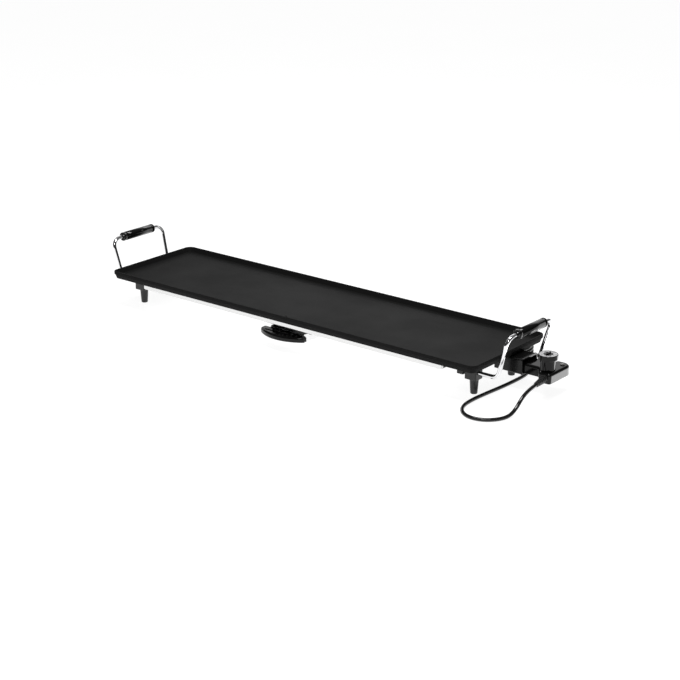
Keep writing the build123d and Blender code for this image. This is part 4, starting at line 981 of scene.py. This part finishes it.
@dataclass
class Cord:
    """The mains cord: a free stretch on the table, a neat coil behind the plate and a short tail.

    Attributes:
        radius: half its thickness, in metres, as are all the lengths here.
        length: its length from the thermostat to the plug. Not used.
        coil_centre: the coil's middle.
        coil_radii: the outer and the inner ring's radius.
        layers: the lower and the upper layer's height.
        points_a_turn: control points to a turn of the coil.
        easing: the share of a turn after which the cord starts to move to the next ring.
        shift: from these places to the frame.
        exit: where it leaves the thermostat.
        route: control points from there to the coil.
        tail: control points from the coil to the plug.
    """

    radius: float = 0.0035
    length: float = 1.516
    coil_centre: tuple[float, float] = (0.345, 0.165)
    coil_radii: tuple[float, float] = (0.0415, 0.0345)
    layers: tuple[float, float] = (0.0036, 0.0106)
    points_a_turn: int = 16
    easing: float = 0.8
    shift: tuple[float, float] = (-0.022, 0.0005)
    exit: Point = (0.533, -0.04173, 0.0378)
    route: tuple[Point, ...] = (
        (0.533, -0.06153, 0.03502),
        (0.533, -0.083, 0.0275),
        (0.533, -0.103, 0.011),
        (0.532, -0.123, 0.0036),
        (0.524, -0.147, 0.0036),
        (0.505, -0.1645, 0.0036),
        (0.479, -0.168, 0.0036),
        (0.4555, -0.155, 0.0036),
        (0.4415, -0.132, 0.0036),
        (0.437, -0.1, 0.0036),
        (0.439, -0.055, 0.0036),
        (0.443, -0.005, 0.0036),
        (0.444, 0.042, 0.0036),
        (0.441, 0.078, 0.0036),
        (0.427, 0.106, 0.0036),
        (0.402, 0.1215, 0.0036),
        (0.377, 0.1235, 0.0036),
        (0.356, 0.1235, 0.0036),
    )
    tail: tuple[Point, ...] = ((0.326, 0.1235, 0.0106), (0.314, 0.1235, 0.0106), (0.302, 0.1235, 0.0106))

    def coil_points(self) -> np.ndarray:
        """The coil's turns as control points.

        The cord goes round the outer ring, the inner ring, then both again on the upper layer.  Its
        angle falls steadily from the side nearest the plate, its radius and height ease from one ring to
        the next over the last fifth of each turn.

        Returns:
            The points, before the shift into the frame.
        """
        outer, inner = self.coil_radii
        low, high = self.layers
        rings = np.array([(outer, low), (inner, low), (inner, high), (outer, high), (outer, high)])
        share = (np.arange(self.points_a_turn) + 0.5) / self.points_a_turn
        ease = np.maximum(0.0, (share - self.easing) / (1 - self.easing))[:, None]
        radius, height = np.moveaxis(rings[:-1, None] + (rings[1:, None] - rings[:-1, None]) * ease, -1, 0)
        angle = -math.pi / 2 - 2 * math.pi * share
        cx, cy = self.coil_centre
        turns = np.stack([cx + radius * np.cos(angle), cy + radius * np.sin(angle), height], -1)
        return turns.reshape(-1, 3)

    def build(self, finishes: Finishes) -> None:
        """Args:
            finishes: the griddle's finishes.
        """
        points = [self.exit, *self.route, *self.coil_points(), *self.tail]
        curve = bpy.data.curves.new("cord", "CURVE")
        curve.dimensions = "3D"
        curve.bevel_depth = self.radius
        curve.bevel_resolution = 5
        curve.resolution_u = 8
        curve.use_fill_caps = True
        spline = curve.splines.new("NURBS")
        spline.points.add(len(points) - 1)
        places = np.ones((len(points), 4))
        places[:, :3] = np.array(points) + np.array([*self.shift, 0.0])
        spline.points.foreach_set("co", places.ravel())
        spline.order_u = 3
        spline.use_endpoint_u = True
        cord = bpy.data.objects.new("cord", curve)
        bpy.context.scene.collection.objects.link(cord)
        keep(cord, finishes.get(Finishes.JACKET), Body.THERMOSTAT)
        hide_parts("cord_lead", "cord_coil", "cord_tail")


# ---------------------------------------------------------------- handles


@dataclass
class CarryingHandle:
    """One bent wire with a moulded grip, at either end of the plate.  Lengths are in millimetres.

    Attributes:
        side: -1 for the left end and 1 for the right.
        sides: points round the wire.
        arc_step: the largest angle between two points of a bend.
        inner: from the plate's end in to the wire's ends.
        foot: from the plate's end out to the lower bends.
        reach: from the plate's end out to the grip's axis.
        top: the grip's height.
        wire_y: from the middle to either run below the plate.
        top_y: from the middle to either upper bend.
        wire_z: the height of the runs below the plate.
        wire_radius: half the wire's thickness.
        lower_bend: the lower bends' radius.
        upper_bend: the upper bends' radius.
        half_length: half the plate's length.
        grip_half: half the grip's length.
        grip_radius: the grip's radius.
        grip_play: the play between the grip and the wire.
        grip_collar: from the grip's end to its groove's middle.
        groove_depth: the groove's depth.
        groove_floor: half the groove's width at its floor.
        groove_mouth: half its width at the surface.
        grip_edge: the rounding of the grip's ends.
        edge_points: points on that rounding.
        grip_sides: points round the grip.
    """

    side: int
    sides: int = 28
    arc_step: float = math.radians(5)
    inner: float = 83.0
    foot: float = 17.4
    reach: float = 39.0
    top: float = 123.0
    wire_y: float = 67.0
    top_y: float = 72.0
    wire_z: float = 43.5
    wire_radius: float = 4.0
    lower_bend: float = 16.0
    upper_bend: float = 18.0
    half_length: float = 453.0
    grip_half: float = 44.0
    grip_radius: float = 9.0
    grip_play: float = 0.05
    grip_collar: float = 7.0
    groove_depth: float = 0.7
    groove_floor: float = 0.6
    groove_mouth: float = 0.9
    grip_edge: float = 1.6
    edge_points: int = 7
    grip_sides: int = 48

    @property
    def name(self) -> str:
        """The end that it stands at, as its node names say it."""
        return "left" if self.side < 0 else "right"

    @property
    def top_x(self) -> float:
        """Where the grip's axis lies, from the plate's middle."""
        return self.side * (self.half_length + self.reach)

    def build(self, finishes: Finishes, middle: tuple[float, float]) -> None:
        """Builds the wire and its grip.

        Args:
            finishes: the griddle's finishes.
            middle: the plate's centre in the frame, in metres.
        """
        place = np.array([*middle, 0.0])
        self._build_wire(finishes, place)
        self._build_grip(finishes, place)

    def _build_wire(self, finishes: Finishes, place: np.ndarray) -> None:
        """Builds the wire: two runs below the plate, two leaning legs and the run through the grip.

        Args:
            finishes: the griddle's finishes.
            place: the plate's centre in the frame, in metres.
        """
        inner_x = self.side * (self.half_length - self.inner)
        foot_x = self.side * (self.half_length + self.foot)
        top_x = self.top_x
        corners = [
            (inner_x, -self.wire_y, self.wire_z),
            (foot_x, -self.wire_y, self.wire_z),
            (top_x, -self.top_y, self.top),
            (top_x, self.top_y, self.top),
            (foot_x, self.wire_y, self.wire_z),
            (inner_x, self.wire_y, self.wire_z),
        ]
        radii = [self.lower_bend, self.upper_bend, self.upper_bend, self.lower_bend]
        path = rounded_path(corners, radii, self.arc_step) * MM + place
        rings = tube_along(path, self.wire_radius * MM, self.sides)
        wire = grid_mesh(f"wire_{self.name}", rings, closed_v=True, caps=True)
        keep(wire, finishes.get(Finishes.CHROME), Body.GRIDDLE)
        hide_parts(f"handle_wire_{self.name}")

    def _grip_profile(self) -> np.ndarray:
        """Half the grip's section, mirrored: bore, rounded end, and a groove a collar's width in.

        Returns:
            Pairs of place along the axis and radius, in metres.
        """
        half, outer, edge = self.grip_half, self.grip_radius, self.grip_edge
        turn = np.linspace(0, math.pi / 2, self.edge_points)
        rim = np.stack([half - edge + edge * np.sin(turn), outer - edge + edge * np.cos(turn)], -1)
        middle, floor = half - self.grip_collar, outer - self.groove_depth
        groove = [
            (middle - self.groove_mouth, outer),
            (middle - self.groove_floor, floor),
            (middle + self.groove_floor, floor),
            (middle + self.groove_mouth, outer),
        ]
        right = np.vstack([groove, rim, [(half, self.wire_radius + self.grip_play)]])
        left = right[::-1] * (-1, 1)
        return np.vstack([left, right]) * MM

    def _build_grip(self, finishes: Finishes, place: np.ndarray) -> None:
        """Builds the grip.

        Args:
            finishes: the griddle's finishes.
            place: the plate's centre in the frame, in metres.
        """
        centre = tuple(np.array([self.top_x, 0.0, self.top]) * MM + place)
        rings = turned(self._grip_profile(), centre, Vector((0, 1, 0)), self.grip_sides)
        grip = grid_mesh(f"grip_{self.name}", rings, closed_u=True, closed_v=True)
        keep(grip, finishes.get(Finishes.PHENOLIC), Body.GRIDDLE)
        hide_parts(f"handle_grip_{self.name}")


# ---------------------------------------------------------------- dial


@dataclass
class DialPrint:
    """Ticks and numerals printed on the dial's silver ring.  Lengths are in metres.

    Attributes:
        numerals: how many numerals there are, from 0 up.
        steps: ticks from one numeral to the next.
        first: the first numeral's angle about the dial's axis.
        sweep: the angle from the first numeral to the last.
        lift: how far the print stands above the ring.
        margin: from the ring's rim to the ticks.
        tick_inner: from the rim to the inner end of a tick at a numeral, and of the others.
        tick_half: half the width of a tick at a numeral, and of the others.
        text_margin: from the rim to the numerals' centres.
        text_size: the numerals' size.
        text_weight: how much their strokes are thickened.
    """

    numerals: int = 8
    steps: int = 5
    first: float = math.radians(225)
    sweep: float = math.radians(270)
    lift: float = 0.00006
    margin: float = 0.0004
    tick_inner: tuple[float, float] = (0.0026, 0.0016)
    tick_half: tuple[float, float] = (0.00035, 0.0002)
    text_margin: float = 0.0049
    text_size: float = 0.0046
    text_weight: float = 0.0001

    def build(self, finishes: Finishes) -> None:
        """Builds every mark on the ring.

        Args:
            finishes: the griddle's finishes.
        """
        low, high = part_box("dial_scale_ring")
        cx, cy, top = (low[0] + high[0]) / 2, (low[1] + high[1]) / 2, high[2] + self.lift
        outer = (high[0] - low[0]) / 2
        self._ticks((cx, cy, top), outer, finishes)
        ring = outer - self.text_margin
        for i, angle in enumerate(self.first - self.sweep * np.linspace(0, 1, self.numerals)):
            place = Vector((cx + ring * math.cos(angle), cy + ring * math.sin(angle), top))
            self._numeral(str(i), place, angle - math.pi / 2, finishes)

    def _ticks(self, centre: Point, outer: float, finishes: Finishes) -> None:
        """Builds the ticks as one flat mesh: one rectangle a tick, along the spoke at its angle.

        Args:
            centre: the ring's centre, at the print's height.
            outer: the ring's radius.
            finishes: the griddle's finishes.
        """
        count = (self.numerals - 1) * self.steps + 1
        angle = self.first - self.sweep * np.linspace(0, 1, count)
        long = np.arange(count) % self.steps == 0
        inner = (outer - np.where(long, *self.tick_inner))[:, None]
        half = np.where(long, *self.tick_half)[:, None]
        rim = outer - self.margin
        way = np.stack([np.cos(angle), np.sin(angle)], -1)
        across = np.stack([-np.sin(angle), np.cos(angle)], -1) * half
        corners = [way * inner - across, way * rim - across, way * rim + across, way * inner + across]
        flat = np.stack(corners, 1) + np.array(centre[:2])
        points = np.concatenate([flat, np.full((count, 4, 1), centre[2])], -1).reshape(-1, 3)
        mesh = bpy.data.meshes.new("dial_ticks")
        mesh.from_pydata(points.tolist(), [], np.arange(count * 4).reshape(-1, 4).tolist())
        ticks = bpy.data.objects.new("dial_ticks", mesh)
        bpy.context.scene.collection.objects.link(ticks)
        keep(ticks, finishes.get(Finishes.MARKS), Body.DIAL)

    def _numeral(self, text: str, place: Vector, turn: float, finishes: Finishes) -> None:
        """Sets one numeral as a flat mesh.

        Args:
            text: the numeral.
            place: its centre in the frame.
            turn: its angle about the dial's axis.
            finishes: the griddle's finishes.
        """
        curve = bpy.data.curves.new("numeral", "FONT")
        curve.body = text
        curve.size = self.text_size
        curve.align_x = "CENTER"
        curve.align_y = "CENTER"
        curve.offset = self.text_weight
        letter = bpy.data.objects.new("numeral", curve)
        mesh = bpy.data.meshes.new_from_object(letter)
        bpy.data.objects.remove(letter)
        mesh.transform(Matrix.Translation(place) @ Matrix.Rotation(turn, 4, "Z"))
        piece = bpy.data.objects.new(f"dial_numeral_{text}", mesh)
        bpy.context.scene.collection.objects.link(piece)
        keep(piece, finishes.get(Finishes.MARKS), Body.DIAL)


# ---------------------------------------------------------------- assembly


@dataclass(frozen=True)
class Dressing:
    """The finishes of one body's CAD nodes that stay visible.

    Attributes:
        body: the body.
        coats: pairs of a finish and the names of the nodes that wear it.
    """

    body: Body
    coats: tuple[tuple[Finish, tuple[str, ...]], ...]

    def apply(self, finishes: Finishes) -> None:
        """Dresses every node of the body.

        Args:
            finishes: the griddle's finishes.
        """
        LOG.info("dressing the %s", self.body.value)
        for finish, nodes in self.coats:
            finishes.dress(finish, *nodes)


GRIDDLE_DRESSING = Dressing(
    Body.GRIDDLE,
    (
        (Finishes.COATING, ("cooking_plate",)),
        (Finishes.SHEATH, ("heating_element",)),
        (Finishes.PLATED, ("element_clips", "clip_screws", "shroud_screws", "reflector_screws")),
        (Finishes.PLATED, ("rail_screws", "foot_screws", "tray_rail_left", "tray_rail_right")),
        (Finishes.SHEET, ("reflector_pan", "drain_spout")),
        (Finishes.CERAMIC, ("terminal_bushes",)),
        (Finishes.BRASS, ("terminal_pins",)),
        (Finishes.DARK, ("handle_clamps",)),
        (Finishes.INLET, ("inlet_shroud",)),
        (Finishes.FOOT, ("foot_front_left", "foot_front_right", "foot_rear_left", "foot_rear_right")),
        (Finishes.RUBBER, ("foot_pads",)),
        (Finishes.CHROME, ("clamp_screws",)),
    ),
)
TRAY_DRESSING = Dressing(
    Body.TRAY,
    (
        (Finishes.TRAY, ("drip_tray",)),
        (Finishes.PHENOLIC, ("tray_handle",)),
        (Finishes.PLATED, ("tray_rivets",)),
    ),
)
THERMOSTAT_DRESSING = Dressing(
    Body.THERMOSTAT,
    (
        (Finishes.PHENOLIC, ("thermostat_base", "thermostat_cover", "plug_body")),
        (Finishes.PLATED, ("housing_screws", "thermostat_probe")),
        (Finishes.CERAMIC, ("contact_block", "switch_stack")),
        (Finishes.BRASS, ("contact_sleeves", "switch_leaves", "plug_blades")),
        (Finishes.RUBBER, ("strain_relief",)),
        (Finishes.DARK, ("coil_tie",)),
        (Finishes.LENS, ("pilot_lens",)),
        (Finishes.BULB, ("pilot_lamp",)),
    ),
)
DIAL_DRESSING = Dressing(
    Body.DIAL,
    (
        (Finishes.PLATED, ("dial_shaft",)),
        (Finishes.PHENOLIC, ("dial_knob",)),
        (Finishes.SCALE, ("dial_scale_ring",)),
    ),
)


def main() -> None:
    """Builds the studio and every piece, in order."""
    logging.basicConfig(level=logging.INFO, format="%(name)s: %(message)s")
    Studio().build()
    finishes = Finishes(Effects())
    for dressing in (GRIDDLE_DRESSING, TRAY_DRESSING, THERMOSTAT_DRESSING, DIAL_DRESSING):
        dressing.apply(finishes)
    Cord().build(finishes)
    low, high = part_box("cooking_plate")
    middle = ((low[0] + high[0]) / 2, (low[1] + high[1]) / 2)
    for side in (-1, 1):
        CarryingHandle(side).build(finishes, middle)
    DialPrint().build(finishes)


if __name__ == "__main__":
    main()
